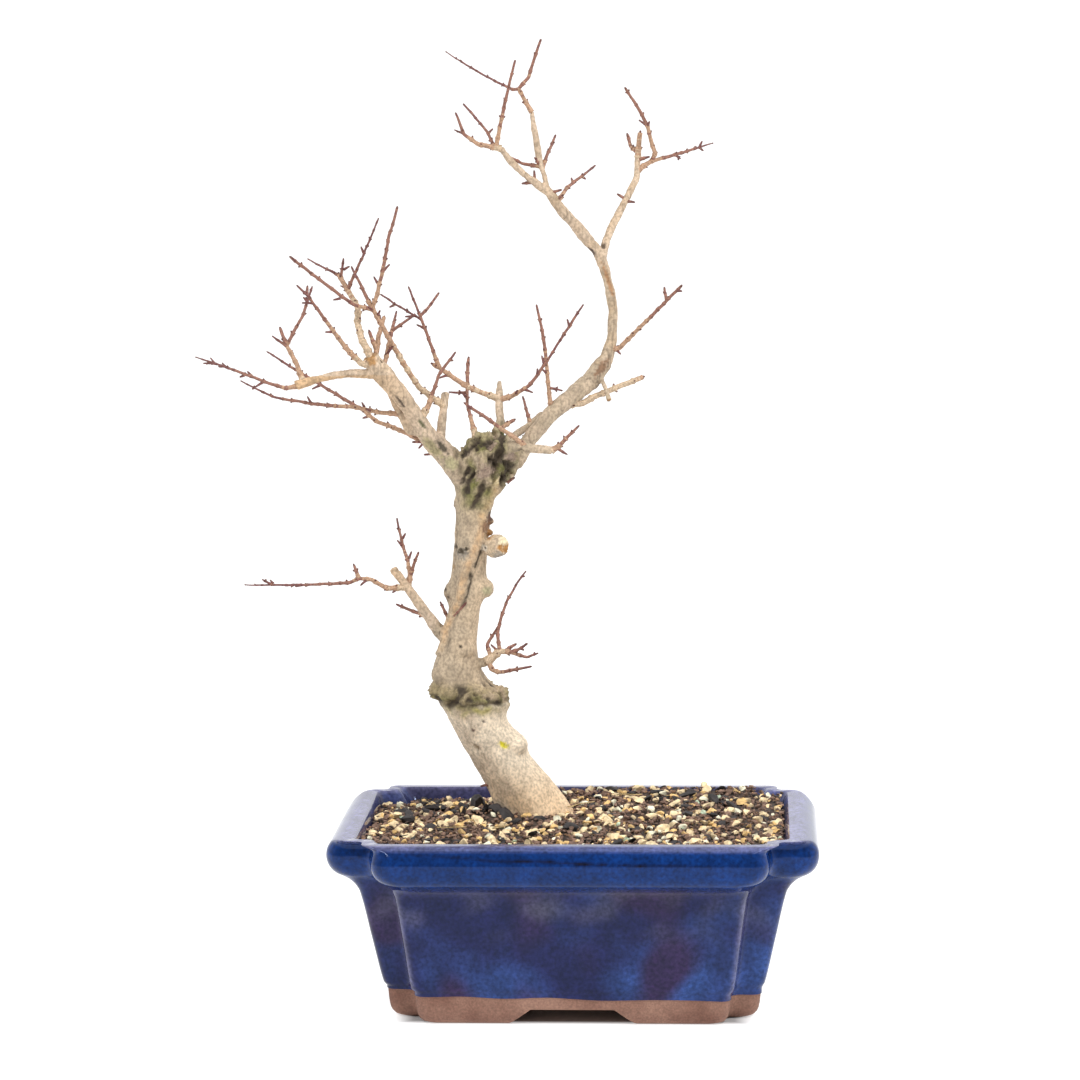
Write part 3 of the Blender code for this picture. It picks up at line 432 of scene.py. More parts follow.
# Marks on the front of the trunk: height, distance to the right of its middle, radius, colour
MARKS = (
    (107, 6.4, 1.5, (0.72, 0.62, 0.03)),
    (106.3, -5, 1.1, (0.25, 0.18, 0.11)),
    (113.5, -2.5, 0.7, (0.16, 0.10, 0.08)),
    (117, 3.5, 0.6, (0.13, 0.10, 0.08)),
    (187, -3.2, 2.6, (0.30, 0.255, 0.20)),
    (189.6, -6, 1.0, DARK_BARK_AND_SHADE),
    (187.8, -3.6, 1.3, DARK_BARK_AND_SHADE),
    (189.0, -1.1, 0.9, DARK_BARK_AND_SHADE),
    (189.6, 6.2, 1.3, (0.66, 0.58, 0.47)),
    (189.6, 6.2, 0.5, DARK_BARK_AND_SHADE),
    (198, 6.6, 2.4, (0.25, 0.14, 0.08)),
    (201.6, 7.6, 1.5, (0.13, 0.07, 0.05)),
    (195, 7.6, 1.6, (0.34, 0.17, 0.06)),
    # End of the cut stub: a paler top, partly pale wood and partly a painted highlight, then painted shade
    # on its underside
    (192.6, 14.2, 2.0, (0.80, 0.68, 0.45)),
    (186.2, 12.6, 2.7, (0.40, 0.34, 0.27)),
    (190.4, 12.8, 1.2, STUB_ORANGE),
    (189.4, 15.0, 1.7, STUB_ORANGE),
    (187.6, 16.6, 1.5, STUB_ORANGE),
    (181, -6.4, 0.8, (0.30, 0.20, 0.10)),
    (168.4, -7.2, 1.5, (0.30, 0.22, 0.15)),
    (168.4, -7.2, 0.5, DARK_BARK_AND_SHADE),
    (171.5, -9, 0.8, DARK_BARK_AND_SHADE),
    (171, 8.6, 1.8, (0.45, 0.40, 0.24)),
    (148.5, 1.7, 0.6, DARK_BARK_AND_SHADE),
    (217.6, 8.2, 1.6, (0.72, 0.58, 0.34)),
    (221.5, 0.2, 3.6, KNOB_WOOD),
    (227.5, 8.5, 2.2, KNOB_WOOD),
    (232.5, 0.5, 1.6, KNOB_WOOD),
)
# Scars of the boughs: share along, distance to the right, half length, half width, colour
SCARS = (
    ("bough_right_upper", 0.66, 0.2, 8.0, 1.1, (0.36, 0.20, 0.10)),
    ("bough_right_upper", 0.94, -2.2, 3.2, 0.7, (0.09, 0.06, 0.045)),
    ("bough_right_upper/0", 0.6, -0.6, 2.0, 1.2, (0.13, 0.09, 0.06)),
    ("bough_right", 0.93, 0.6, 5.5, 1.9, (0.24, 0.14, 0.08)),
    ("bough_right", 0.61, -1.2, 1.3, 1.3, (0.13, 0.09, 0.06)),
    ("bough_left", 0.2, -1.8, 7.0, 2.4, (0.37, 0.31, 0.17)),
    ("bough_left", 0.02, -1.0, 3.5, 3.0, (0.40, 0.35, 0.20)),
    ("bough_left", 0.15, 1.2, 4.5, 1.5, (0.09, 0.07, 0.045)),
    ("bough_left", 0.38, 0.6, 3.2, 0.9, (0.13, 0.12, 0.06)),
    ("bough_left", 0.62, -1.6, 4.2, 0.6, (0.10, 0.07, 0.05)),
    ("bough_left", 0.93, 2.4, 1.3, 1.0, (0.12, 0.08, 0.05)),
    ("bough_left", 0.98, -0.4, 2.2, 2.4, (0.42, 0.23, 0.09)),
)
# Short spurs of the trunk: height, distance to the right, how far they reach up, right and forward
TRUNK_SPURS = (
    (161, -3.5, 5.2, 4.8, 2.5),
    (159.6, -6.2, 6, -2.8, 0.5),
    (89, -12.5, -0.6, -2.6, 0),
    (216, 12, 1.7, 2.6, 0),
)
TRUNK_SPUR_GIRTHS = (1.3, 0.9)
# Short spurs of the boughs: bough, share along, how far they reach right and up from its middle
BOUGH_SPURS = (
    ("bough_top_upright", 0.3, -2.5, 4.2),
    ("bough_top_left", 0.63, -0.3, 4.5),
    ("bough_top_left", 0.64, -4.2, -0.4),
    ("bough_top_left", 0.5, 4.6, 1.2),
    ("bough_top_left", 0.42, 3.0, 2.2),
    ("bough_top_right", 0.5, -3.0, 1.8),
    ("bough_top_right", 0.48, 3.4, -0.6),
    ("bough_top_right", 0.97, 4.4, 1.2),
    ("bough_left", 0.2, -8.0, 0.4),
    ("bough_left", 0.1, -7.0, -0.8),
)
BOUGH_SPUR_GIRTHS = (1.4, 1.0)

# Twigs: mesh, nodes along them, spurs and buds at the nodes
TWIG_STEP = 0.5
TWIG_SIDES = 10
FINE_SIDES = 8
NODE_SPACING = (3.2, 8.0)
NODE_SWELL = 0.34
NODE_LENGTH = 0.55
NODE_GRAIN = 0.10
ROOT_SWELL = 0.4
SPUR_CHANCE = 0.11
SPUR_LENGTH = (1.4, 3.0)
SPUR_GIRTHS = (0.95, 0.8)
BUD_CHANCE = 0.75
BUD_LENGTH = 0.95
BUD_RADIUS = 0.5
BUD_SIDES = 6
# A bud's sections from its root to its tip, as shares of its length and of its radius
BUD_PLACES = (-0.1, 0.3, 0.65, 1)
BUD_WIDTHS = (0.8, 1, 0.8, 0.3)
# Twigs thinner than these girths take the next finish of the list
GIRTHS_OF_KINDS = (2.2, 1.55, 1.05)
TWIG_FINISHES = (
    ("twig_old", (0.50, 0.37, 0.245)),
    ("twig_middle", (0.39, 0.235, 0.145)),
    ("twig_young", (0.24, 0.108, 0.074)),
    ("twig_tip", (0.155, 0.056, 0.048)),
)
BUD_COLOUR = (0.13, 0.05, 0.035)

# Pot's finish: the glaze's lower edge, its colours, and the dark line where it broke on the rim, whose dark
# also paints shade on the inside wall
GLAZE_LINE = 11.2
GLAZE_WAVE = 0.8
GLAZE_STEP = 3.0
GLAZE_EDGE = 0.35
COBALT = (0.002, 0.021, 0.112)
NAVY = (0.010, 0.011, 0.056)
SKY_BLUE = (0.026, 0.062, 0.215)
VIOLET = (0.024, 0.012, 0.045)
# Grey haze of the glaze, partly a painted sheen
HAZE_AND_SHEEN = (0.085, 0.08, 0.115)
# Pale lavender of thin glaze, partly a painted sheen on the rim's top and along the creases
LAVENDER_AND_SHEEN = (0.16, 0.155, 0.28)
GLAZE_BREAK_AND_SHADE = (0.006, 0.005, 0.012)
CLAY = (0.25, 0.125, 0.085)
DARK_CLAY = (0.17, 0.075, 0.05)
PALE_CLAY = (0.31, 0.17, 0.12)
BREAK_HEIGHT = 71.8
BREAK_REACH = 52
LIP_TONE_START = 74.6
# Edges stay sharp from this many degrees
SHARP_GLAZE = 42
SHARP_STONE = 34
# Heights of the pot's rings: the foot, the glaze's edge, the wall and the neck below the rim
RING_HEIGHTS = (
    *(0, 0.5, 1, 2.5, 4, 6, 8),
    *(GLAZE_LINE + 0.3 * step for step in range(-3, 5)),
    *(13.2, 14, 15),
    *(15 + 1.6 * step for step in range(1, 25)),
    *(54.5, 56, 57, 58, BODY_LEVELS[-1][0]),
)

# Gravel: name, how many, smallest and largest size, shape (long, broad, flat), ball level, colour
GRAVEL = (
    ("gravel_cream", 330, 2.4, 7.8, (1.0, 0.8, 0.6), 3, (0.90, 0.71, 0.43)),
    ("gravel_yellow", 220, 2.2, 6.4, (1.0, 0.8, 0.6), 3, (0.80, 0.53, 0.22)),
    ("gravel_pale", 105, 2.2, 6.4, (1.0, 0.75, 0.6), 3, (0.86, 0.82, 0.62)),
    ("gravel_green", 32, 2.2, 5.2, (1.0, 0.8, 0.6), 3, (0.54, 0.64, 0.46)),
    ("bark_chips", 130, 4.5, 14.0, (1.0, 0.5, 0.3), 3, (0.042, 0.036, 0.036)),
    ("crumbs_brown", 3000, 1.2, 5.0, (1.0, 0.75, 0.6), 1, (0.23, 0.14, 0.10)),
    ("crumbs_dark", 1300, 1.0, 3.8, (1.0, 0.7, 0.5), 1, (0.07, 0.046, 0.036)),
    ("crumbs_rust", 800, 1.0, 3.0, (1.0, 0.75, 0.6), 1, (0.36, 0.20, 0.11)),
)
# Biggest chips: right, back, height and size of each
BIG_CHIPS = (
    (-41.5, 14, 78.5, 14),
    (-33.5, 0, 78.2, 10),
    (-29, -5.5, 77.2, 9),
    (-1.5, -25, 75.6, 9),
    (-38, 5, 77, 9),
)
BIG_CHIP_SHAPE = (1.0, 0.75, 0.7)
STONE_CUTS = 10
STONE_ROUGHNESS = 0.03
STONE_LIFT = (-0.25, 0.3)
SIZE_SPREAD = (1.3, 2.4)
STRAWS = 9
STRAW_SPREAD = (80, 55)
STRAW_LENGTH = (8, 18)
STRAW_RADIUS = 0.25
STRAW_LIFT = 2.2
STRAW_COLOUR = (0.55, 0.40, 0.20)
# Share of the stones that stay in the left part of the pot
LEFT_SHARE = 0.8

# Studio, in metres: the floor and where its glow starts beyond the foot, the world and the lights
FLOOR_HALF = 8.0
SWEEP_START = 0.9
SWEEP_RADIUS = 1.6
SWEEP_STEPS = 12
FLOOR_COLOUR = (0.5, 0.5, 0.5)
FLOOR_GLOW = 0.72
GLOW_START = 0.93
GLOW_FULL = 1.04
FOOT_HALF_LENGTH = 0.0705
FOOT_HALF_DEPTH = 0.046
FRONT_TO_REAR = (-0.6, 0.3)
FRONT_LIGHT = 0.35
REAR_LIGHT = 0.95
LIGHTS_AIM = (0, 0, 0.15)
# Lights: name, place, size, power
LIGHTS = (
    ("key", (0.95, -0.85, 1.35), (0.8, 0.2), 19),
    ("fill", (-0.95, -0.85, 1.35), (0.75, 0.18), 13),
    ("top", (0.1, 0.1, 1.5), (0.9, 0.5), 2),
)


def levels_of_rim():
    """Levels of the rolled rim from its underside up to its flat top."""
    levels = []
    for step in range(ROLL_STEPS, -1, -1):
        angle = math.radians(90 - ROLL_TURN * step / ROLL_STEPS)
        inset = ROLL_WIDTH * (1 - math.cos(angle))
        rise = ROLL_DROP
        notch = RIM_NOTCH
        if angle > 0:
            rise = POT_HEIGHT - RIM_WIDEST
            notch -= (RIM_NOTCH - TOP_NOTCH) * math.sin(angle) ** NOTCH_FADE
        height = RIM_WIDEST + rise * math.sin(angle)
        levels.append((height, inset, notch, LOBE_SHARE * notch, RIM_CREASE_SHARE * notch))
    return levels


def notched_outline(inset, notch, lobe, crease):
    """Points of a rectangle with notched corners, round lobes and round creases."""
    half_length = RIM_HALF_LENGTH - inset
    half_depth = RIM_HALF_DEPTH - DEPTH_SHARE * inset
    arcs = (
        (half_length - lobe, half_depth - notch - lobe, lobe, 0, 90, ARC_STEPS),
        (half_length - notch + crease, half_depth - notch + crease, crease, 270, 180, CREASE_STEPS),
        (half_length - notch - lobe, half_depth - lobe, lobe, 0, 90, ARC_STEPS),
    )
    corner = []
    for x, y, radius, first, last, steps in arcs:
        for step in range(steps + 1):
            angle = math.radians(first + (last - first) * step / steps)
            corner.append((x + radius * math.cos(angle), y + radius * math.sin(angle)))
    mirrored = [(-x, y) for x, y in reversed(corner)]
    half = corner + mirrored
    return half + [(-x, -y) for x, y in half]


def clamped(value):
    """Value kept between 0 and 1."""
    return min(max(value, 0), 1)


def smooth(stations, height):
    """Values at a height, on a smooth curve through the stations."""
    last = len(stations) - 1
    index = 0
    while index < last - 1 and height > stations[index + 1][0]:
        index += 1
    before = stations[max(index - 1, 0)]
    low = stations[index]
    high = stations[index + 1]
    after = stations[min(index + 2, last)]
    span = high[0] - low[0]
    share = clamped((height - low[0]) / span)
    values = []
    for column in range(1, len(low)):
        slope_low = (high[column] - before[column]) / (high[0] - before[0]) * span
        slope_high = (after[column] - low[column]) / (after[0] - low[0]) * span
        rise = high[column] - low[column]
        square = 3 * rise - 2 * slope_low - slope_high
        cube = slope_low + slope_high - 2 * rise
        values.append(low[column] + slope_low * share + square * share ** 2 + cube * share ** 3)
    return values


def trunk_ring(height):
    """Ring of the trunk at a height, with its swellings and root lobes."""
    x, y, half_width, half_depth = smooth(TRUNK_STATIONS, height)
    above_soil = height - TRUNK_STATIONS[0][0]
    lobe_depth = ROOT_LOBE_DEPTH * math.exp(-above_soil / ROOT_LOBE_REACH)
    ring = []
    for side in range(TRUNK_SIDES):
        angle = math.tau * side / TRUNK_SIDES
        proud = 0.0
        for level, facing, most, spread, width in TRUNK_SWELLS:
            apart = (math.degrees(angle) - facing + 180) % 360 - 180
            proud += most * math.exp(-((height - level) / spread) ** 2 - (apart / width) ** 2)
        lobes = 1 + lobe_depth * math.cos(ROOT_LOBES * angle + ROOT_LOBE_TURN)
        ring.append(Vector((
            x + (half_width * lobes + proud) * math.cos(angle),
            y + (half_depth * lobes + proud) * math.sin(angle),
            height)))
    return ring


def view_axes():
    """Right, up and away, as seen from the front and a little above."""
    turn = math.radians(VIEW_TURN)
    drop = math.radians(VIEW_DROP)
    right = Vector((math.cos(turn), math.sin(turn), 0))
    away = Vector((-math.sin(turn) * math.cos(drop), math.cos(turn) * math.cos(drop), -math.sin(drop)))
    return right, right.cross(away), away


RIGHT, UP, AWAY = view_axes()


def step_vector(heading, lean):
    """Move for one millimetre of a limb's length as seen from the front."""
    turn = math.radians(heading)
    return RIGHT * math.sin(turn) + UP * math.cos(turn) + AWAY * math.tan(math.radians(lean))


def girth_at(girths, share):
    """Girth at a share of the length, between evenly spaced girths."""
    spot = clamped(share) * (len(girths) - 1)
    index = min(int(spot), len(girths) - 2)
    return girths[index] + (girths[index + 1] - girths[index]) * (spot - index)


def limb_line(root, limb):
    """Centre line of a limb as a list of (point, share of the length)."""
    total = sum(run[0] for run in limb["stretches"])
    point = root.copy()
    travelled = 0.0
    line = [(root.copy(), 0.0)]
    for length, first, last in limb["stretches"]:
        runs = max(math.ceil(abs(last - first) / SHARPEST_TURN), math.ceil(length / LONGEST_RUN))
        for run in range(runs):
            heading = first + (last - first) * (run + 0.5) / runs
            point += step_vector(heading, limb["lean"]) * (length / runs)
            travelled += length / runs
            line.append((point.copy(), travelled / total))
    return line


def spot_on(line, share):
    """Point and direction of a centre line at a share of its length."""
    for (low, low_share), (high, high_share) in zip(line, line[1:]):
        if share <= high_share or high_share >= 1:
            part = (share - low_share) / (high_share - low_share)
            return low.lerp(high, part), (high - low).normalized()
    return line[-1][0], (line[-1][0] - line[-2][0]).normalized()


def trim(line, girths, plane):
    """Centre line that starts on a plane (point, normal) instead of at the middle of its parent."""
    on_plane, normal = plane
    direction = (line[1][0] - line[0][0]).normalized()
    slope = direction.dot(normal)
    radius = girth_at(girths, 0) / 2
    root = line[0][0] + direction * ((on_plane - line[0][0]).dot(normal) / slope)
    first = root + direction * (radius * math.sqrt(max(1 - slope ** 2, 0)) / slope + 0.2)
    kept = [(point, share) for point, share in line if (point - first).dot(direction) > radius]
    whole = (first - root).length + sum(
        (high[0] - low[0]).length for low, high in zip([(first, 0)] + kept, kept))
    return [(root, 0.0), (first, (first - root).length / whole)] + kept


def place(points):
    """Points in millimetres from the pot's middle, as metres in the row frame."""
    low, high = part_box("pot")
    return np.asarray(points, float) * MM + np.array(((low.x + high.x) / 2, (low.y + high.y) / 2, low.z))


ORIGIN = Vector(place([(0, 0, 0)])[0])


def add_object(name, data):
    """New object in the scene."""
    made = bpy.data.objects.new(name, data)
    bpy.context.scene.collection.objects.link(made)
    return made


def apply_modifiers(made):
    """Give an object the shape that its modifiers make of it."""
    skin = bpy.data.meshes.new_from_object(made.evaluated_get(bpy.context.evaluated_depsgraph_get()))
    made.modifiers.clear()
    made.data = skin


def store_tones(mesh, tones):
    """Keep a colour for each point of a mesh."""
    layer = mesh.color_attributes.new("tone", "FLOAT_COLOR", "POINT")
    layer.data.foreach_set("color", np.array(tones, np.float32).ravel())


class Shape:
    """Points and faces of many small forms, with the material number of each face."""

    def __init__(self):
        self.points = []
        self.faces = []
        self.kinds = []
        self.count = 0

    def add(self, points, faces, kinds=None):
        """Add one form; kinds is one number for each of its faces."""
        self.points.append(np.asarray(points, float))
        self.faces += [tuple(self.count + corner for corner in face) for face in faces]
        self.kinds += kinds or [0] * len(faces)
        self.count += len(points)

    def piece(self, name, finishes):
        """Object of the plant made from all that was added."""
        mesh = bpy.data.meshes.new(name)
        mesh.from_pydata(place(np.vstack(self.points)).tolist(), [], self.faces)
        for finish in finishes:
            mesh.materials.append(finish)
        mesh.polygons.foreach_set("material_index", self.kinds)
        mesh.shade_smooth()
        return add_object(name, mesh)


def tube(line, radii, sides):
    """Points and faces of a closed tube along points, with a radius at each one."""
    last = len(line) - 1
    across = None
    points = []
    for index, (point, radius) in enumerate(zip(line, radii)):
        along = Vector(line[min(index + 1, last)] - line[max(index - 1, 0)]).normalized()
        if across is None:
            across = along.cross(Vector((0.3, 1, 0.2))).normalized()
        across = (across - along * across.dot(along)).normalized()
        other = along.cross(across)
        for side in range(sides):
            angle = math.tau * side / sides
            points.append(Vector(point) + (across * math.cos(angle) + other * math.sin(angle)) * radius)
    return points, loop_faces(len(line), sides)


def loop_faces(rows, count):
    """Faces through rows of points of equal count, with a flat cap at each end."""
    faces = [tuple(range(count))[::-1]]
    for row in range(rows - 1):
        for side in range(count):
            start = row * count + side
            after = row * count + (side + 1) % count
            faces.append((start, after, after + count, start + count))
    faces.append(tuple((rows - 1) * count + side for side in range(count)))
    return faces


def resample(line, step, soften):
    """Centre line as evenly spaced points with softened corners, and their distances."""
    places = np.array([tuple(point) for point, _ in line])
    lengths = np.r_[0, np.cumsum(np.linalg.norm(np.diff(places, axis=0), axis=1))]
    count = max(int(lengths[-1] / step), 4) + 1
    distances = np.linspace(0, lengths[-1], count)
    even = np.stack([np.interp(distances, lengths, places[:, axis]) for axis in range(3)], 1)
    reach = min(max(round(soften / step), 1), count - 2)
    before = 2 * even[0] - even[reach:0:-1]
    after = 2 * even[-1] - even[-2:-reach - 2:-1]
    kernel = np.hanning(2 * reach + 3)[1:-1]
    padded = np.vstack([before, even, after])
    softened = [np.convolve(padded[:, axis], kernel / kernel.sum(), "valid") for axis in range(3)]
    return np.stack(softened, 1), distances


class Tree:
    """Centre lines of all limbs, grown by the rule of the solids; each starts inside its parent."""

    def __init__(self):
        self.lines = {}
        self.limbs = {}
        self.wood = []
        self.twigs = []
        for name, (height, arm) in TRUNK_ARMS.items():
            x, y = smooth(TRUNK_STATIONS, height)[:2]
            self.keep("arm:" + name, limb_line(Vector((x, y, height)), arm), arm)
            self.wood.append((self.lines["arm:" + name], arm))
        for name, (parent, limb) in BOUGHS.items():
            self.wood.append((self.grow(name, parent, limb), limb))
            for number, arm in enumerate(limb["sides"]):
                line = limb_line(spot_on(self.lines[name], arm["along"])[0], arm)
                self.keep(f"{name}/{number}", line, arm)
                self.wood.append((line, arm))
        for name, (parent, limb) in TWIG_MASSES.items():
            self.twigs.append((self.grow(name, parent, limb), limb))
            self.add_side_twigs(self.lines[name], limb)

    def keep(self, name, line, limb):
        """Remember a limb so that others can grow from it."""
        self.lines[name] = line
        self.limbs[name] = limb

    def grow(self, name, parent, limb):
        """Centre line of a limb, from the middle of its parent."""
        direction = step_vector(limb["stretches"][0][1], limb["lean"]).normalized()
        if ":" in parent:
            before = parent if parent.startswith("arm:") else parent.split(":")[1]
            spot, normal = spot_on(self.lines[before], 1)
            plane = (spot + normal * CLEAR, normal)
        else:
            spot, along = spot_on(self.lines[parent], limb["along"])
            normal = (direction - along * direction.dot(along)).normalized()
            radius = girth_at(self.limbs[parent]["girths"], limb["along"]) / 2
            plane = (spot + normal * (radius + SIDE_CLEAR), normal)
        line = trim(limb_line(spot, limb), limb["girths"], plane)
        self.keep(name, line, limb)
        return [(spot, 0.0)] + line

    def add_side_twigs(self, line, limb):
        """Twigs that grow from a twig, and from each other."""
        for side in limb["sides"]:
            side_line = limb_line(spot_on(line, side["along"])[0], side)
            self.twigs.append((side_line, side))
            self.add_side_twigs(side_line, side)


def wavy(points, amount, spacing, seed):
    """Points moved a little from side to side, as a grown limb wanders."""
    moved = []
    for point in points:
        shift = noise.noise_vector(Vector(point) / spacing + Vector((seed, 0, 0)))
        moved.append(point + np.array(shift) * amount)
    return np.array(moved)


def front_spot(height, across, sunk):
    """Point on the front of the trunk, sunk below its surface."""
    x, y, half_width, half_depth = smooth(TRUNK_STATIONS, height)
    share = min(abs(across) / half_width, 0.95)
    return Vector((x + across, y - half_depth * math.sqrt(1 - share ** 2) + sunk, height))


def ball(middle, radius, level=2):
    """Points and faces of a round lump."""
    form = bmesh.new()
    bmesh.ops.create_icosphere(form, subdivisions=level, radius=radius)
    points = [vertex.co + middle for vertex in form.verts]
    faces = [tuple(vertex.index for vertex in face.verts) for face in form.faces]
    form.free()
    return points, faces


def seam_height(point):
    """Height of the seam under the collar, at a place round the trunk."""
    around = Vector((point.x, point.y, 0))
    return SEAM_HEIGHT + 2.2 * noise.noise(around * 0.12) + 0.9 * noise.noise(around * 0.4)


def vein_line():
    """Centre line and radii of the raised vein on the front of the trunk."""
    spots = [(front_spot(height, across, -0.1), 0) for height, across in VEIN]
    line, distances = resample(spots, BOUGH_STEP, 4)
    return wavy(line, *VEIN_WAVE), VEIN_RADIUS * (0.55 + 0.45 * distances / distances[-1])


def rough_wood(tree):
    """Overlapping forms of the trunk, its lumps and vein, and the boughs."""
    shape = Shape()
    first = TRUNK_STATIONS[0][0] - TRUNK_SUNK
    last = TRUNK_STATIONS[-1][0]
    rings = []
    for ring in range(TRUNK_RINGS):
        height = first + (last - first) * ring / (TRUNK_RINGS - 1)
        rings += trunk_ring(height)
    shape.add(rings, loop_faces(TRUNK_RINGS, TRUNK_SIDES))
    for height, across, radius in LUMPS:
        shape.add(*ball(front_spot(height, across, LUMP_SUNK * radius), radius))
    shape.add(*tube(*vein_line(), VEIN_SIDES))
    for line, limb in tree.wood:
        points, distances = resample(line, BOUGH_STEP, BOUGH_SOFTENING)
        shares = distances / distances[-1]
        girths = np.array([girth_at(limb["girths"], share) for share in shares])
        rings = [noise.noise(Vector((0, limb["lean"], spot / RING_SPACING))) for spot in distances]
        radii = girths / 2 * (1 + RING_SWELL * np.array(rings))
        shape.add(*tube(wavy(points, *BOUGH_WAVE), radii, BOUGH_SIDES))
    return shape


def remesh(made):
    """Join the overlapping forms of an object into one even skin."""
    merge = made.modifiers.new("Remesh", "REMESH")
    merge.mode = "VOXEL"
    merge.voxel_size = VOXEL * MM
    soften = made.modifiers.new("Smooth", "SMOOTH")
    soften.factor = 0.5
    soften.iterations = 3
    apply_modifiers(made)


def mix(first, second, share):
    """Colour between two colours."""
    share = clamped(share)
    return tuple(a + (b - a) * share for a, b in zip(first, second))


def ridges(point):
    """Sharp folds of noise from 0 to 1."""
    return 1 - abs(noise.noise(point)) * 2


def upright(point, share):
    """Place for noise that is drawn out upwards; a small share draws it out far."""
    return Vector((point.x, point.y, point.z * share))


def fissure(point, width):
    """Thin winding lines, from 0 beside a line to 1 on it."""
    return math.exp(-(noise.noise(point) / width) ** 2)


def crags(point):
    """Broken ridges of several sizes, from about -1 in the clefts to 1 on the crests."""
    return 2 * (noise.ridged_multi_fractal(point, *CRAG_FRACTAL) - 0.85)


def crack(point, width):
    """Thin broken lines, from 0 beside a line to 1 on it."""
    return fissure(point, width) * clamped(0.3 + 3 * noise.noise(point * 0.6 + Vector((9, 0, 0))))


def bark_crack(point, width):
    """Crack in the bark, faint on the smooth foot of the trunk."""
    return crack(upright(point, 0.25) * CRACK_GRAIN, width) * (FOOT_CRACKS if point.z < SEAM_HEIGHT else 1)


def hump(distance, reach):
    """Share that falls from 1 to 0 with distance."""
    return math.exp(-(distance / reach) ** 2)


def knob_crags(point):
    """Crags of the knob, drawn out upwards."""
    return crags(upright(point, 0.35) * KNOB_GRAIN)


def bark_relief(point, knob, on_trunk):
    """How far the bark stands out at a point, in millimetres."""
    grain = upright(point, 0.5)
    relief = RIDGE_DEPTH * ridges(grain * RIDGE_GRAIN) + GRIT_DEPTH * noise.noise(grain * GRIT_GRAIN)
    relief += WAVE_DEPTH * noise.noise(point * WAVE_GRAIN)
    relief -= CRACK_DEPTH * bark_crack(point, 0.035)
    relief += knob * (KNOB_CRAGS * knob_crags(point) + 0.5 * ridges(point * 0.9) - 0.3)
    if on_trunk:
        above = point.z - seam_height(point)
        collar = COLLAR_CRAGS * crags(point * COLLAR_GRAIN) + 0.5 * ridges(point * 0.8) - 0.1
        relief -= hump(above, 1.0) * (SEAM_DEPTH + 1.2 * noise.noise(point * 0.22))
        relief += hump(above - 3.8, 3.2) * collar
    return relief


def bough_colour(point, patch):
    """Colour of the boughs: greyer on the lower right, tan at the far left and at the top."""
    grey_share = 0.55 if point.x > -30 and point.z < 300 else -0.3
    colour = mix(BOUGH_BARK, GREY_BARK, 0.3 + patch + grey_share)
    return mix(colour, TAN_BARK, (-62 - point.x) / 25 if point.z < 262 else 0.1 + 0.4 * patch)


def foot_colour(point, across, patch):
    """Colour of the trunk below its seam: warm at the soil, with darker patches and painted shade on the
    left.
    """
    colour = mix(WARM_BARK, PALE_BARK, (point.z - 82) / 18)
    # Darker on random patches, and painted shade towards the trunk's left side
    return mix(colour, PATCH_AND_SHADE_BARK, 0.25 + patch + (-across - 5) / 15)


def upper_colour(point, across, beside, patch):
    """Colour of the trunk above its seam, greyer on the left as painted shade, with the vein and the painted
    shadow along its right side.
    """
    # Greyer on random patches, and painted shade towards the trunk's left side
    colour = mix(GREY_BARK, UPPER_BARK, 0.45 + 0.8 * patch + across / 10)
    colour = mix(colour, GREY_BARK, 0.6 * hump(point.z - 140, 12))
    if point.z > VEIN[0][0] and point.y < 1:
        fade = min((point.z - VEIN[0][0]) / 10, 1)
        colour = mix(colour, TAN_BARK, fade * (1.15 - abs(beside) / 2.0) * (0.85 + noise.noise(point * 0.5)))
        # Painted shadow: a dark line along the right side of the raised vein
        rim = 0.8 * fade * hump(beside - 2.5, 0.7)
        colour = mix(colour, DARK_BARK_AND_SHADE, rim * (0.5 + 2 * noise.noise(point * 0.3)))
    return colour


def collar_colour(colour, point, across, patch):
    """Colour with the moss of the collar, painted shade in its clefts, the lichen, and painted shade in the
    groove of the seam below it.
    """
    above = point.z - seam_height(point)
    collar = hump(above - 3.5, 5.0)
    colour = mix(colour, COLLAR_BARK, collar * (0.85 + 1.5 * patch))
    colour = mix(colour, MOSS, 0.7 * hump(above - 1.5, 2.5) * (0.5 + 1.5 * noise.noise(point * 0.35)))
    # Painted shade in the clefts of the collar's crags
    colour = mix(colour, DARK_BARK_AND_SHADE, -1.5 * collar * (crags(point * COLLAR_GRAIN) + 0.1))
    lip = hump(above + 2.2, 2.0) * hump(across - 1, 9)
    colour = mix(colour, LICHEN, lip * (0.8 + 1.5 * noise.noise(point * 0.3)))
    # Painted shade along the sunk groove of the seam
    return mix(colour, DARK_BARK_AND_SHADE, hump(above, 1.1) * (0.7 + noise.noise(point * 0.22)))


def bark_colour(point, across, beside, knob, on_trunk):
    """Colour of the bark at a point."""
    patch = noise.noise(point * 0.11) + 0.5 * noise.noise(point * 0.35)
    if not on_trunk:
        colour = bough_colour(point, patch)
    elif point.z < SEAM_HEIGHT:
        colour = collar_colour(foot_colour(point, across, patch), point, across, patch)
    else:
        colour = collar_colour(upper_colour(point, across, beside, patch), point, across, patch)
    tongue = hump((point - Vector(MOSS_TONGUE)).length, TONGUE_REACH)
    colour = mix(colour, MOSS, max(knob, tongue) * (0.85 + 1.4 * noise.noise(point * 0.2)))
    # Painted shade in the clefts of the knob's crags and of the moss tongue
    cleft_shade = -1.6 * (knob_crags(point) + 0.05)
    colour = mix(colour, DARK_BARK_AND_SHADE, max(knob, 0.6 * tongue) * cleft_shade)
    return mix(colour, DARK_BARK_AND_SHADE, 0.45 * bark_crack(point, 0.05))


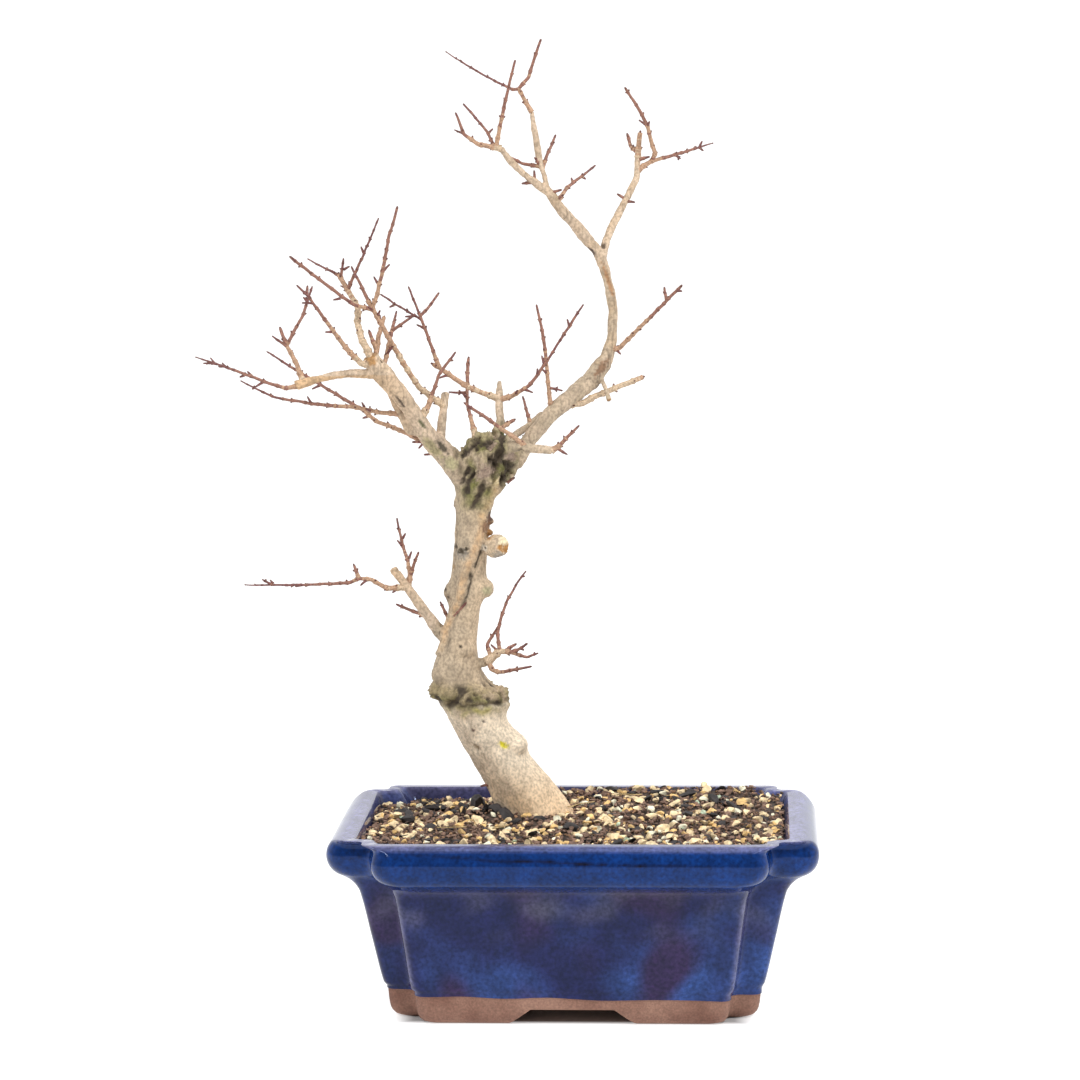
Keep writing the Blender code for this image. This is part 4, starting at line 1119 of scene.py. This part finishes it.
def cut_spots(tree):
    """End, direction, radius and colour of each cut end of the boughs."""
    spots = []
    for name, colour in CUT_ENDS.items():
        end, direction = spot_on(tree.lines[name], 1)
        spots.append((end, direction, tree.limbs[name]["girths"][-1] * 0.62, colour))
    return spots


def scar_spots(tree):
    """Middle, direction, side, half length, half width and colour of each scar of the boughs."""
    spots = []
    for name, share, across, length, width, colour in SCARS:
        middle, along = spot_on(tree.lines[name], share)
        side = along.cross(AWAY).normalized()
        if side.dot(RIGHT) < 0:
            side = -side
        spots.append((middle + side * across, along, side, length, width, colour))
    return spots


def with_cuts(colour, point, normal, cuts):
    """Colour with the cut ends of the boughs."""
    for end, direction, radius, cut in cuts:
        if (point - end).length < radius and normal.dot(direction) > 0.5:
            colour = mix(cut, DARK_BARK_AND_SHADE, 0.35 * abs(noise.noise((point - end) * 0.9)))
    return colour


def with_marks(colour, relief, point, across):
    """Colour and relief with the marks of the trunk's front."""
    for height, right, radius, mark in MARKS:
        apart = math.hypot(across - right, point.z - height) / radius
        apart += 0.7 * noise.noise(point * 1.5)
        if apart < 1.6:
            colour = mix(colour, mark, 2 - 1.5 * apart)
            relief -= 0.35 * max(1.2 - apart, 0)
    return colour, relief


def with_rifts(colour, relief, point, across):
    """Colour and relief with the rifts of the trunk's front."""
    for (first_height, first_right), (last_height, last_right), half in RIFTS:
        run = Vector((last_right - first_right, last_height - first_height))
        start = Vector((across - first_right, point.z - first_height))
        share = clamped(start.dot(run) / run.length_squared)
        apart = (start - run * share).length / half + 0.9 * noise.noise(point * 0.6)
        if apart < 2:
            colour = mix(colour, DARK_BARK_AND_SHADE, 1.8 - 1.2 * apart)
            relief -= half * max(1.3 - apart, 0)
    return colour, relief


def with_scars(colour, relief, point, scars):
    """Colour and relief with the scars of the boughs."""
    for spot, along, side, length, width, scar in scars:
        offset = point - spot
        if offset.length < length + width and offset.dot(AWAY) < 0:
            apart = math.hypot(offset.dot(along) / length, offset.dot(side) / width)
            apart += 0.5 * noise.noise(point * 0.9)
            colour = mix(colour, scar, 2.2 - 2 * apart)
            relief -= 0.6 * max(1 - apart, 0)
    return colour, relief


def carve_wood(made, tree):
    """Move the skin by the bark's relief, and store its colours."""
    mesh = made.data
    cuts = cut_spots(tree)
    scars = scar_spots(tree)
    vein = vein_line()[0]
    moved = []
    tones = []
    for index, vertex in enumerate(mesh.vertices):
        point = (vertex.co - ORIGIN) / MM
        normal = mesh.vertex_normals[index].vector
        middle, depth, half_width, _ = smooth(TRUNK_STATIONS, point.z)
        across = point.x - middle
        on_trunk = point.z < TRUNK_TOP and (across / half_width) ** 2 < 2.4
        knob = math.exp(-((point - Vector(KNOB)).length / KNOB_REACH) ** 4)
        beside = point.x - np.interp(point.z, vein[:, 2], vein[:, 0])
        relief = bark_relief(point, knob, on_trunk)
        colour = bark_colour(point, across, beside, knob, on_trunk)
        colour = with_cuts(colour, point, normal, cuts)
        if point.y < depth:
            colour, relief = with_marks(colour, relief, point, across)
            colour, relief = with_rifts(colour, relief, point, across)
        colour, relief = with_scars(colour, relief, point, scars)
        tones.append((*colour, 1))
        moved.append(vertex.co + normal * (relief * MM))
    mesh.vertices.foreach_set("co", np.array(moved).ravel())
    store_tones(mesh, tones)
    mesh.update()


def build_wood(tree):
    """Trunk and boughs as one skin with the bark's relief."""
    wood = rough_wood(tree).piece("bark_wood", [])
    remesh(wood)
    carve_wood(wood, tree)
    wood.data.materials.append(bark_finish())
    wood.data.shade_smooth()
    finish_piece(wood, "bark", "trunk", *BOUGHS)


def add_bud(buds, point, direction, size):
    """One pointed bud."""
    line = [np.array(point + direction * (BUD_LENGTH * size * share)) for share in BUD_PLACES]
    buds.add(*tube(line, [BUD_RADIUS * size * share for share in BUD_WIDTHS], BUD_SIDES))


def node_spots(rng, girths, total):
    """Distances from a twig's root to its nodes."""
    spots = []
    spot = girths[0] + rng.uniform(1, 3)
    while spot < total - 1:
        spots.append(spot)
        spot += rng.uniform(*NODE_SPACING) * (0.6 + 0.25 * min(girths[-1], 2))
    return spots


def add_twig(shape, buds, rng, line, limb_girths, spurs=True):
    """One twig with swollen nodes, opposite buds, short spurs and a bud at its tip."""
    points, distances = resample(line, TWIG_STEP, 1.0)
    points = wavy(points, *TWIG_WAVE)
    total = distances[-1]
    girths = np.array([girth_at(limb_girths, distance / total) for distance in distances])
    nodes = node_spots(rng, girths, total)
    swell = sum(np.exp(-((distances - node) / NODE_LENGTH) ** 2) for node in nodes) if nodes else 0
    grain = np.array([noise.noise(Vector(point) * 0.9) for point in points])
    radii = girths / 2 * (1 + NODE_SWELL * swell + NODE_GRAIN * grain)
    radii *= 1 + ROOT_SWELL * np.exp(-distances / (1.3 * girths[0]))
    sides = TWIG_SIDES if girths[0] > 1 else FINE_SIDES
    kinds = [0]
    for girth in (girths + 0.25 * grain)[:-1]:
        kinds += [sum(girth < limit for limit in GIRTHS_OF_KINDS)] * sides
    shape.add(*tube(points, radii, sides), kinds + [kinds[-1]])
    turn = rng.uniform(0, math.pi)
    for node in nodes:
        index = int(np.searchsorted(distances, node))
        along = Vector(points[min(index + 1, len(points) - 1)] - points[index - 1]).normalized()
        turn += math.pi / 2 + rng.uniform(-0.3, 0.3)
        across = Matrix.Rotation(turn, 3, along) @ along.orthogonal().normalized()
        for side in (-1, 1):
            size = rng.uniform(0.55, 1.0)
            outward = (across * side + along * 0.8).normalized()
            root = Vector(points[index]) + across * side * (radii[index] * 0.8)
            if spurs and rng.random() < SPUR_CHANCE and girths[index] > 0.8:
                reach = outward * rng.uniform(*SPUR_LENGTH)
                add_twig(shape, buds, rng, [(root, 0), (root + reach, 1)], SPUR_GIRTHS, False)
            elif rng.random() < BUD_CHANCE:
                add_bud(buds, root, outward, size)
    direction = Vector(points[-1] - points[-3]).normalized()
    add_bud(buds, Vector(points[-1]), direction, min(max(girths[-1], 0.7), 1.1))


def short_spurs(tree):
    """Root, reach and girths of each short spur of the trunk and boughs."""
    spurs = []
    for height, across, up, right, forward in TRUNK_SPURS:
        spurs.append((front_spot(height, across, 0.5), Vector((right, -forward, up)), TRUNK_SPUR_GIRTHS))
    for name, share, right, up in BOUGH_SPURS:
        spurs.append((spot_on(tree.lines[name], share)[0], Vector((right, -1, up)), BOUGH_SPUR_GIRTHS))
    return spurs


def build_twigs(tree):
    """All twigs in one piece and all buds in another."""
    rng = random.Random(SEED)
    shape = Shape()
    buds = Shape()
    for line, limb in tree.twigs:
        add_twig(shape, buds, rng, line, limb["girths"])
    for root, reach, girths in short_spurs(tree):
        add_twig(shape, buds, rng, [(root, 0), (root + reach, 1)], girths, False)
    finishes = [twig_finish(name, colour) for name, colour in TWIG_FINISHES]
    finish_piece(shape.piece("twig_wood", finishes), "twig", *TWIG_MASSES)
    finish_piece(buds.piece("twig_buds", [twig_finish("bud_scales", BUD_COLOUR)]), "twig")


def finish_piece(made, slot, *nodes):
    """Let a piece ride on the plant and stand for solids; its slot is not used."""
    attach(made, "root")
    if nodes:
        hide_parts(*nodes)


def pot_levels():
    """Levels of the pot's skin from the recess up the outside and down the inside."""
    outside = []
    for height in RING_HEIGHTS:
        inset, *corner = smooth(BODY_LEVELS, height)
        if height >= GLAZE_LINE:
            inset -= GLAZE_EDGE * hump(height - GLAZE_LINE, 1.2)
        outside.append((height, inset, *corner))
    return [*RECESS_LEVELS, *outside, *levels_of_rim(), *INNER_LEVELS]


def glaze_border(x, y):
    """Height of the glaze's lower edge at a place round the pot."""
    return GLAZE_LINE - x * 0.012 + GLAZE_WAVE * noise.noise(Vector((x, y, 0)) * 0.045)


def glaze_tone(point):
    """Colour of the glaze at a point: cobalt rim, navy walls with pale, violet and hazy clouds, the hazy
    ones partly a painted sheen, painted shade on the inside wall, and a pale lavender top that is partly a
    painted sheen.
    """
    cloud = noise.noise(point * 0.03) + 0.4 * noise.noise(point * 0.1)
    low_right = hump(point.x - 62, 48) * hump(point.z - 20, 17)
    colour = mix(NAVY, SKY_BLUE, 0.7 * cloud - 0.1 + 0.6 * low_right + 0.35 * hump(point.z - 17, 10))
    colour = mix(colour, VIOLET, 3 * noise.noise(point * 0.04 + Vector((4, 2, 0))))
    # Hazy clouds near the top of the walls and at the right end, partly a painted sheen
    haze_and_sheen = 1.6 * noise.noise(point * 0.07 + Vector((0, 7, 3))) - 0.1 + 0.6 * hump(point.x - 72, 14)
    colour = mix(colour, HAZE_AND_SHEEN, 0.7 * hump(point.z - 49, 8) * haze_and_sheen)
    inset, notch = smooth(BODY_LEVELS, point.z)[:2]
    panel_edge = RIM_HALF_LENGTH - inset - notch
    # Pale line along the creases: thin glaze, partly a painted highlight
    colour = mix(colour, LAVENDER_AND_SHEEN, 0.35 * hump(abs(point.x) - panel_edge + 0.8, 1.2))
    colour = mix(colour, COBALT, (point.z - 57) / 4)
    wave = BREAK_HEIGHT - 0.028 * point.x + 1.5 * noise.noise(point * 0.05)
    line = hump(point.z - wave, 0.55) * hump(point.x, BREAK_REACH) if point.y < 0 else 0
    colour = mix(colour, GLAZE_BREAK_AND_SHADE, line * (0.9 + 1.5 * noise.noise(point * 0.3)))
    # Painted shade: the inside wall above the soil is darkened
    if point.z > 66 and inside_pot(point.x, point.y, -1.5):
        colour = mix(NAVY, GLAZE_BREAK_AND_SHADE, 0.4)
    # Pale lavender top of the rim, stronger at the sides: thin glaze with a painted sheen
    return mix(colour, LAVENDER_AND_SHEEN, (1 - 0.55 * hump(point.x, 75)) * (point.z - LIP_TONE_START) / 2.8)


def prism(section, reach, turned):
    """Points and faces of a bar with a given section, along the pot or across it."""
    points = []
    for along in (-reach, reach):
        for across, height in section:
            points.append((along, across, height) if turned else (across, along, height))
    return points, loop_faces(2, len(section))


def foot_cutter():
    """Bars for the four gates of the foot and two round ones for the drain holes."""
    bars = Shape()
    for length, turned in ((GATE_LENGTH, False), (GATE_DEPTH, True)):
        half_top = length / 2 - GATE_SLOPE
        half_foot = half_top + GATE_SLOPE * (GATE_HEIGHT + CUTTER_PAST) / GATE_HEIGHT
        section = (
            (-half_foot, -CUTTER_PAST),
            (half_foot, -CUTTER_PAST),
            (half_top, GATE_HEIGHT),
            (-half_top, GATE_HEIGHT),
        )
        bars.add(*prism(section, RIM_HALF_LENGTH, turned))
    for x in (-DRAIN_SPACING / 2, DRAIN_SPACING / 2):
        rings = []
        for height in (RECESS_HEIGHT - CUTTER_PAST, INNER_LEVELS[-1][0] + CUTTER_PAST):
            for side in range(DRAIN_SIDES):
                angle = math.tau * side / DRAIN_SIDES
                rings.append((x + DRAIN_RADIUS * math.cos(angle), DRAIN_RADIUS * math.sin(angle), height))
        bars.add(rings, loop_faces(2, DRAIN_SIDES))
    return bars.piece("foot_cutter", [])


def cut_foot(pot):
    """Cut the four gates of the foot and the two drain holes."""
    cutter = foot_cutter()
    for item in (pot, cutter):
        form = bmesh.new()
        form.from_mesh(item.data)
        bmesh.ops.recalc_face_normals(form, faces=form.faces)
        form.to_mesh(item.data)
        form.free()
    cut = pot.modifiers.new("Gates", "BOOLEAN")
    cut.operation = "DIFFERENCE"
    cut.solver = "EXACT"
    cut.use_self = True
    cut.object = cutter
    apply_modifiers(pot)
    bpy.data.objects.remove(cutter)


def split_runs(outline, counts):
    """Outline with each of its runs split into a given number of equal parts."""
    split = []
    for number, (x, y) in enumerate(outline):
        next_x, next_y = outline[(number + 1) % len(outline)]
        for part in range(counts[number]):
            share = part / counts[number]
            split.append((x + (next_x - x) * share, y + (next_y - y) * share))
    return split


def build_pot():
    """Glazed pot with its bare clay foot."""
    widest = notched_outline(0, RIM_NOTCH, LOBE_SHARE * RIM_NOTCH, RIM_CREASE_SHARE * RIM_NOTCH)
    counts = []
    for point, following in zip(widest, widest[1:] + widest[:1]):
        counts.append(max(1, round(math.dist(point, following) / GLAZE_STEP)))
    points = []
    levels = pot_levels()
    for height, inset, *corner in levels:
        for x, y in split_runs(notched_outline(inset, *corner), counts):
            on_glaze_line = height > 6 and inset < 27
            rise = (glaze_border(x, y) - GLAZE_LINE) * hump(height - GLAZE_LINE, 1.8) if on_glaze_line else 0
            points.append((x, y, height + rise))
    shape = Shape()
    shape.add(points, loop_faces(len(levels), sum(counts)))
    pot = shape.piece("pot_body", [])
    cut_foot(pot)
    store_tones(pot.data, [(*glaze_tone((vertex.co - ORIGIN) / MM), 1) for vertex in pot.data.vertices])
    pot.data.materials.clear()
    pot.data.materials.append(glaze_finish())
    pot.data.materials.append(clay_finish())
    for face in pot.data.polygons:
        middle = (face.center - ORIGIN) / MM
        face.material_index = int(middle.z < glaze_border(middle.x, middle.y) + 0.02)
    pot.data.shade_smooth()
    pot.data.set_sharp_from_angle(angle=math.radians(SHARP_GLAZE))
    finish_piece(pot, "glaze", "pot")


def inside_pot(x, y, margin):
    """Whether a place lies inside the pot's wall at the soil's height."""
    half_length = RIM_HALF_LENGTH - INNER_LEVELS[1][1] - margin
    half_depth = RIM_HALF_DEPTH - DEPTH_SHARE * INNER_LEVELS[1][1] - margin
    notch = INNER_LEVELS[2][2]
    if abs(x) > half_length or abs(y) > half_depth:
        return False
    return abs(x) < half_length - notch or abs(y) < half_depth - notch


def to_right(x):
    """Share that grows from 0 in the left part of the pot to 1 in the right part."""
    return clamped((x - HEAP_START) / HEAP_LENGTH)


def bed_height(x, y):
    """Height of the soil: a mound at the trunk that falls to the wall, more behind than in front."""
    foot = TRUNK_STATIONS[0]
    edge = SOIL_EDGE - SOIL_FALL * y / RIM_HALF_DEPTH
    reach_x = RIM_HALF_LENGTH - LIP_INSET - foot[1] * math.copysign(1, x - foot[1])
    reach_y = RIM_HALF_DEPTH - LIP_INSET - foot[2] * math.copysign(1, y - foot[2])
    share = min(math.hypot((x - foot[1]) / reach_x, (y - foot[2]) / reach_y), 1)
    lumps = 0.9 * noise.noise(Vector((x, y, 0)) * 0.08)
    edge += HEAP_RISE * to_right(x) * clamped(y / RIM_HALF_DEPTH + 0.3)
    beside = SIDE_RISE * hump(math.hypot(x - SIDE_HEAP[0], y - SIDE_HEAP[1]), SIDE_REACH)
    mound = (SOIL_PATCH - edge) * (1 - share ** 2) ** 1.5
    return edge + mound + lumps * min(4 * (1 - share) + 0.3, 1) + beside


def build_bed():
    """Dark bed that the gravel lies on."""
    foot = TRUNK_STATIONS[0]
    buried = INNER_LEVELS[2:]
    points = []
    for height, inset, *corner in reversed(buried):
        points += [(x, y, height + WALL_CLEAR) for x, y in notched_outline(inset + WALL_CLEAR, *corner)]
    rim = notched_outline(*buried[0][1:])
    for ring in range(BED_RINGS):
        share = 1 - ring / BED_RINGS
        for rim_x, rim_y in rim:
            x = foot[1] + (rim_x - foot[1]) * share
            y = foot[2] + (rim_y - foot[2]) * share
            bump = BED_BUMP * noise.noise(Vector((x, y, 0)) * 0.5)
            points.append((x, y, bed_height(x, y) - BED_BELOW + bump))
    shape = Shape()
    shape.add(points, loop_faces(BED_RINGS + len(buried), len(rim)))
    finish_piece(shape.piece("soil_bed", [grain_finish("soil_dark", BED_COLOUR, 0.775)]), "soil", "soil")


def stone_form(level):
    """Points of a ball and its faces, as the start of every stone."""
    points, faces = ball(Vector((0, 0, 0)), 1, level)
    return np.array([tuple(point) for point in points]), faces


def stone(rng, form, size, proportions):
    """Points of one broken stone: a ball cut flat on a few sides, stretched and turned."""
    points = form.copy()
    for _ in range(STONE_CUTS):
        facing = rng.normal(size=3)
        facing /= np.linalg.norm(facing)
        past = np.maximum(points @ facing - rng.uniform(0.35, 0.8), 0)
        points -= np.outer(past, facing)
    points *= rng.normal(1, STONE_ROUGHNESS, (len(points), 1))
    points *= np.array(proportions) * size / 2 * rng.uniform(0.85, 1.15, 3)
    tilt = rng.normal(scale=0.35, size=2)
    turn = Matrix.Rotation(tilt[0], 3, "X") @ Matrix.Rotation(tilt[1], 3, "Y")
    turn = turn @ Matrix.Rotation(rng.uniform(0, math.tau), 3, "Z")
    return points @ np.array(turn).T


def stone_spot(rng, name, smallest, largest):
    """Free place on the bed and size of a new stone."""
    foot = TRUNK_STATIONS[0]
    while True:
        x = rng.uniform(-RIM_HALF_LENGTH, RIM_HALF_LENGTH)
        y = rng.uniform(-RIM_HALF_DEPTH, RIM_HALF_DEPTH)
        if name.startswith("gravel") and rng.random() > LEFT_SHARE + (1 - LEFT_SHARE) * to_right(x):
            continue
        size = smallest + (largest - smallest) * rng.beta(*SIZE_SPREAD)
        in_trunk = math.hypot((x - foot[1]) / foot[3], (y - foot[2]) / foot[4]) < 1
        if not in_trunk and inside_pot(x, y, size * 0.42):
            return x, y, size


def build_gravel():
    """Stones, bark chips and crumbs, each kind joined in one piece."""
    rng = np.random.default_rng(SEED)
    for name, count, smallest, largest, proportions, level, colour in GRAVEL:
        form, faces = stone_form(level)
        shape = Shape()
        for _ in range(count):
            x, y, size = stone_spot(rng, name, smallest, largest)
            lift = rng.uniform(*STONE_LIFT) * size * proportions[2]
            middle = np.array((x, y, bed_height(x, y) + lift))
            shape.add(stone(rng, form, size, proportions) + middle, faces)
        if name == "bark_chips":
            for *middle, size in BIG_CHIPS:
                shape.add(stone(rng, form, size, BIG_CHIP_SHAPE) + np.array(middle), faces)
        grains = shape.piece(name, [grain_finish(name, colour, 0.84)])
        grains.data.set_sharp_from_angle(angle=math.radians(SHARP_STONE))
        finish_piece(grains, "soil")


def build_straws():
    """A few dry needles that lie on the gravel."""
    rng = random.Random(SEED)
    shape = Shape()
    made = 0
    while made < STRAWS:
        x, y = (rng.uniform(-reach, reach) for reach in STRAW_SPREAD)
        turn = rng.uniform(0, math.pi)
        length = rng.uniform(*STRAW_LENGTH)
        reach = Vector((math.cos(turn), math.sin(turn), 0)) * length / 2
        ends = [Vector((x, y, 0)) + reach * side for side in (-1, 0, 1)]
        if not all(inside_pot(end.x, end.y, 2) for end in ends):
            continue
        line = [(Vector((end.x, end.y, bed_height(end.x, end.y) + STRAW_LIFT)), 0) for end in ends]
        points = wavy(resample(line, 1.5, 4)[0], 0.8, 9, made)
        shape.add(*tube(points, [STRAW_RADIUS] * len(points), 6))
        made += 1
    finish_piece(shape.piece("straws", [grain_finish("straw", STRAW_COLOUR, 0.85)]), "soil")


def new_material(name, colour, roughness):
    """Material with its node tree and shader."""
    made = bpy.data.materials.new(name)
    made.use_nodes = True
    shader = made.node_tree.nodes["Principled BSDF"]
    shader.inputs["Base Color"].default_value = (*colour, 1)
    shader.inputs["Roughness"].default_value = roughness
    return made, made.node_tree, shader


def feed(tree, socket, value):
    """Give a socket a number, a colour or the value of another node."""
    if isinstance(value, bpy.types.NodeSocket):
        tree.links.new(value, socket)
    else:
        socket.default_value = value


def object_spot(tree):
    """Place in the object's own space."""
    return tree.nodes.new("ShaderNodeTexCoord").outputs["Object"]


def stored_tone(tree):
    """Colour that is stored with the points of the mesh."""
    tone = tree.nodes.new("ShaderNodeAttribute")
    tone.attribute_name = "tone"
    return tone.outputs["Color"]


def add_noise(tree, scale, detail, upwards=1):
    """Noise in the plant's own space: turns for each metre, detail, share of the turns upwards."""
    mapping = tree.nodes.new("ShaderNodeMapping")
    mapping.inputs["Scale"].default_value = (1, 1, upwards)
    texture = tree.nodes.new("ShaderNodeTexNoise")
    texture.inputs["Scale"].default_value = scale
    texture.inputs["Detail"].default_value = detail
    tree.links.new(object_spot(tree), mapping.inputs["Vector"])
    tree.links.new(mapping.outputs["Vector"], texture.inputs["Vector"])
    return texture.outputs["Fac"]


def add_ramp(tree, source, *stops):
    """Colours for a value, from two stops of a place and a grey or a colour."""
    ramp = tree.nodes.new("ShaderNodeValToRGB")
    for element, (spot, tone) in zip(ramp.color_ramp.elements, stops):
        element.position = spot
        element.color = (*tone, 1) if isinstance(tone, tuple) else (tone, tone, tone, 1)
    tree.links.new(source, ramp.inputs["Fac"])
    return ramp.outputs["Color"]


def add_layers(tree, shader, colour, *layers):
    """Base colour times a ramp of noise for each layer: settings of the noise, then its stops."""
    for settings, *stops in layers:
        node = tree.nodes.new("ShaderNodeMix")
        node.data_type = "RGBA"
        node.blend_type = "MULTIPLY"
        node.inputs[0].default_value = 1
        feed(tree, node.inputs[6], colour)
        feed(tree, node.inputs[7], add_ramp(tree, add_noise(tree, *settings), *stops))
        colour = node.outputs[2]
    tree.links.new(colour, shader.inputs["Base Color"])


def add_bump(tree, shader, settings, strength, distance):
    """Bump from a noise with these settings; the distance is in millimetres."""
    bump = tree.nodes.new("ShaderNodeBump")
    bump.inputs["Strength"].default_value = strength
    bump.inputs["Distance"].default_value = distance * MM
    tree.links.new(add_noise(tree, *settings), bump.inputs["Height"])
    tree.links.new(bump.outputs["Normal"], shader.inputs["Normal"])


def bark_finish():
    """Bark: stored colours, with fine speckle, blotches and a dry skin."""
    made, tree, shader = new_material("bark", PALE_BARK, 0.82)
    speckle = ((950, 5, 0.85), (0.36, 0.68), (0.6, 1.1))
    blotches = ((190, 4, 0.6), (0.35, 0.82), (0.62, 1.06))
    add_layers(tree, shader, stored_tone(tree), speckle, blotches)
    add_bump(tree, shader, (1100, 6, 0.5), 0.5, 0.3)
    return made


def twig_finish(name, colour):
    """Twig bark: one plain colour with fine pale and dark flecks."""
    made, tree, shader = new_material(name, colour, 0.6)
    add_layers(tree, shader, (*colour, 1), ((1300, 3), (0.35, 0.7), (0.65, 1.3)))
    add_bump(tree, shader, (1900, 4), 0.5, 0.15)
    return made


def grain_finish(name, colour, roughness):
    """Stone or crumb: one colour with stains, and a rough broken skin."""
    made, tree, shader = new_material(name, colour, roughness)
    add_layers(tree, shader, (*colour, 1), ((330, 4), (0.32, 0.5), (0.66, 1.25)))
    add_bump(tree, shader, (1500, 5), 0.6, 0.3)
    return made


def glaze_finish():
    """Glaze: stored colours, with a fine mottle, smears and a wet gloss with duller patches."""
    made, tree, shader = new_material("glaze", COBALT, 0.09)
    shader.inputs["Specular IOR Level"].default_value = 0.36
    shader.inputs["Specular Tint"].default_value = (0.55, 0.66, 1, 1)
    mottle = ((620, 5), (0.32, 0.62), (0.68, 1.4))
    smears = ((110, 6, 0.6), (0.35, 0.8), (0.7, 1.35))
    add_layers(tree, shader, stored_tone(tree), mottle, smears)
    patches = add_ramp(tree, add_noise(tree, 60, 5), (0.4, 0.05), (0.75, 0.16))
    tree.links.new(patches, shader.inputs["Roughness"])
    add_bump(tree, shader, (45, 2), 0.12, 0.5)
    return made


def clay_finish():
    """Bare red-brown clay of the foot."""
    made, tree, shader = new_material("clay", CLAY, 0.8)
    patches = add_ramp(tree, add_noise(tree, 55, 5), (0.3, DARK_CLAY), (0.7, PALE_CLAY))
    add_layers(tree, shader, patches, ((1200, 3), (0.3, 0.75), (0.7, 1.2)))
    add_bump(tree, shader, (1400, 4), 0.4, 0.25)
    return made


def add_camera():
    """Camera that sees the plant as the photo does."""
    data = bpy.data.cameras.new("camera")
    data.sensor_width = SENSOR
    data.lens = SENSOR * FOCAL_PIXELS / PICTURE_PIXELS
    turn, drop, roll = (math.radians(angle) for angle in (CAMERA_TURN, CAMERA_DROP, CAMERA_ROLL))
    level = math.cos(drop)
    ahead = Vector((math.sin(turn) * level, math.cos(turn) * level, -math.sin(drop)))
    right = Vector((math.cos(turn), -math.sin(turn), 0))
    up = right.cross(ahead)
    side = right * math.cos(roll) + up * math.sin(roll)
    top = up * math.cos(roll) - right * math.sin(roll)
    camera = add_object("camera", data)
    facing = Matrix((side, top, -ahead)).transposed().to_4x4()
    camera.matrix_world = Matrix.Translation(place([CAMERA_PLACE])[0]) @ facing
    bpy.context.scene.camera = camera


def add_math(tree, operation, *values):
    """Number worked out from numbers and values of other nodes."""
    node = tree.nodes.new("ShaderNodeMath")
    node.operation = operation
    for socket, value in zip(node.inputs, values):
        feed(tree, socket, value)
    return node.outputs[0]


def add_range(tree, value, first, last, low, high):
    """Number from low to high as a value goes from first to last."""
    node = tree.nodes.new("ShaderNodeMapRange")
    for socket, number in zip(node.inputs, (value, first, last, low, high)):
        feed(tree, socket, number)
    return node.outputs["Result"]


def add_split(tree, spot):
    """Numbers of a place along X, Y and Z."""
    split = tree.nodes.new("ShaderNodeSeparateXYZ")
    tree.links.new(spot, split.inputs["Vector"])
    return split.outputs


def beyond_foot(tree):
    """Glow of the floor: none under the pot's foot, and full a little beyond it."""
    spot = add_split(tree, object_spot(tree))
    shares = []
    for axis, middle, half in (("X", ORIGIN.x, FOOT_HALF_LENGTH), ("Y", 0, FOOT_HALF_DEPTH)):
        apart = add_math(tree, "ABSOLUTE", add_math(tree, "SUBTRACT", spot[axis], middle))
        shares.append(add_math(tree, "DIVIDE", apart, half))
    return add_range(tree, add_math(tree, "MAXIMUM", *shares), GLOW_START, GLOW_FULL, 0, FLOOR_GLOW)


def add_floor():
    """White floor that sweeps up behind the plant."""
    profile = [(-FLOOR_HALF, 0), (0, 0), (SWEEP_START, 0)]
    for step in range(1, SWEEP_STEPS + 1):
        angle = math.radians(90) * step / SWEEP_STEPS
        profile.append((SWEEP_START + SWEEP_RADIUS * math.sin(angle), SWEEP_RADIUS * (1 - math.cos(angle))))
    points = [(x, y, z) for y, z in profile for x in (-FLOOR_HALF, FLOOR_HALF)]
    faces = [(row * 2, row * 2 + 1, row * 2 + 3, row * 2 + 2) for row in range(len(profile) - 1)]
    mesh = bpy.data.meshes.new("floor")
    mesh.from_pydata(points, [], faces)
    mesh.shade_smooth()
    made, tree, shader = new_material("floor", FLOOR_COLOUR, 0.9)
    shader.inputs["Emission Color"].default_value = (1, 1, 1, 1)
    tree.links.new(beyond_foot(tree), shader.inputs["Emission Strength"])
    mesh.materials.append(made)
    add_object("floor", mesh)


def add_light(name, spot, size, power):
    """Soft rectangular light that faces the plant's middle."""
    data = bpy.data.lights.new(name, "AREA")
    data.shape = "RECTANGLE"
    data.size, data.size_y = size
    data.energy = power
    light = add_object(name, data)
    light.location = spot
    light.rotation_euler = (Vector(LIGHTS_AIM) - Vector(spot)).to_track_quat("-Z", "Y").to_euler()


def add_studio():
    """World, pale behind and dimmer in front, and the soft lights."""
    world = bpy.data.worlds.new("studio")
    bpy.context.scene.world = world
    world.use_nodes = True
    tree = world.node_tree
    spot = tree.nodes.new("ShaderNodeTexCoord")
    facing = add_split(tree, spot.outputs["Generated"])["Y"]
    light = add_range(tree, facing, *FRONT_TO_REAR, FRONT_LIGHT, REAR_LIGHT)
    tree.links.new(light, tree.nodes["Background"].inputs["Color"])
    for settings in LIGHTS:
        add_light(*settings)


def main():
    """Build the studio and the plant."""
    noise.seed_set(SEED)
    add_camera()
    add_floor()
    add_studio()
    tree = Tree()
    build_wood(tree)
    build_twigs(tree)
    build_pot()
    build_bed()
    build_gravel()
    build_straws()
    bpy.context.scene.view_settings.view_transform = "Standard"


main()
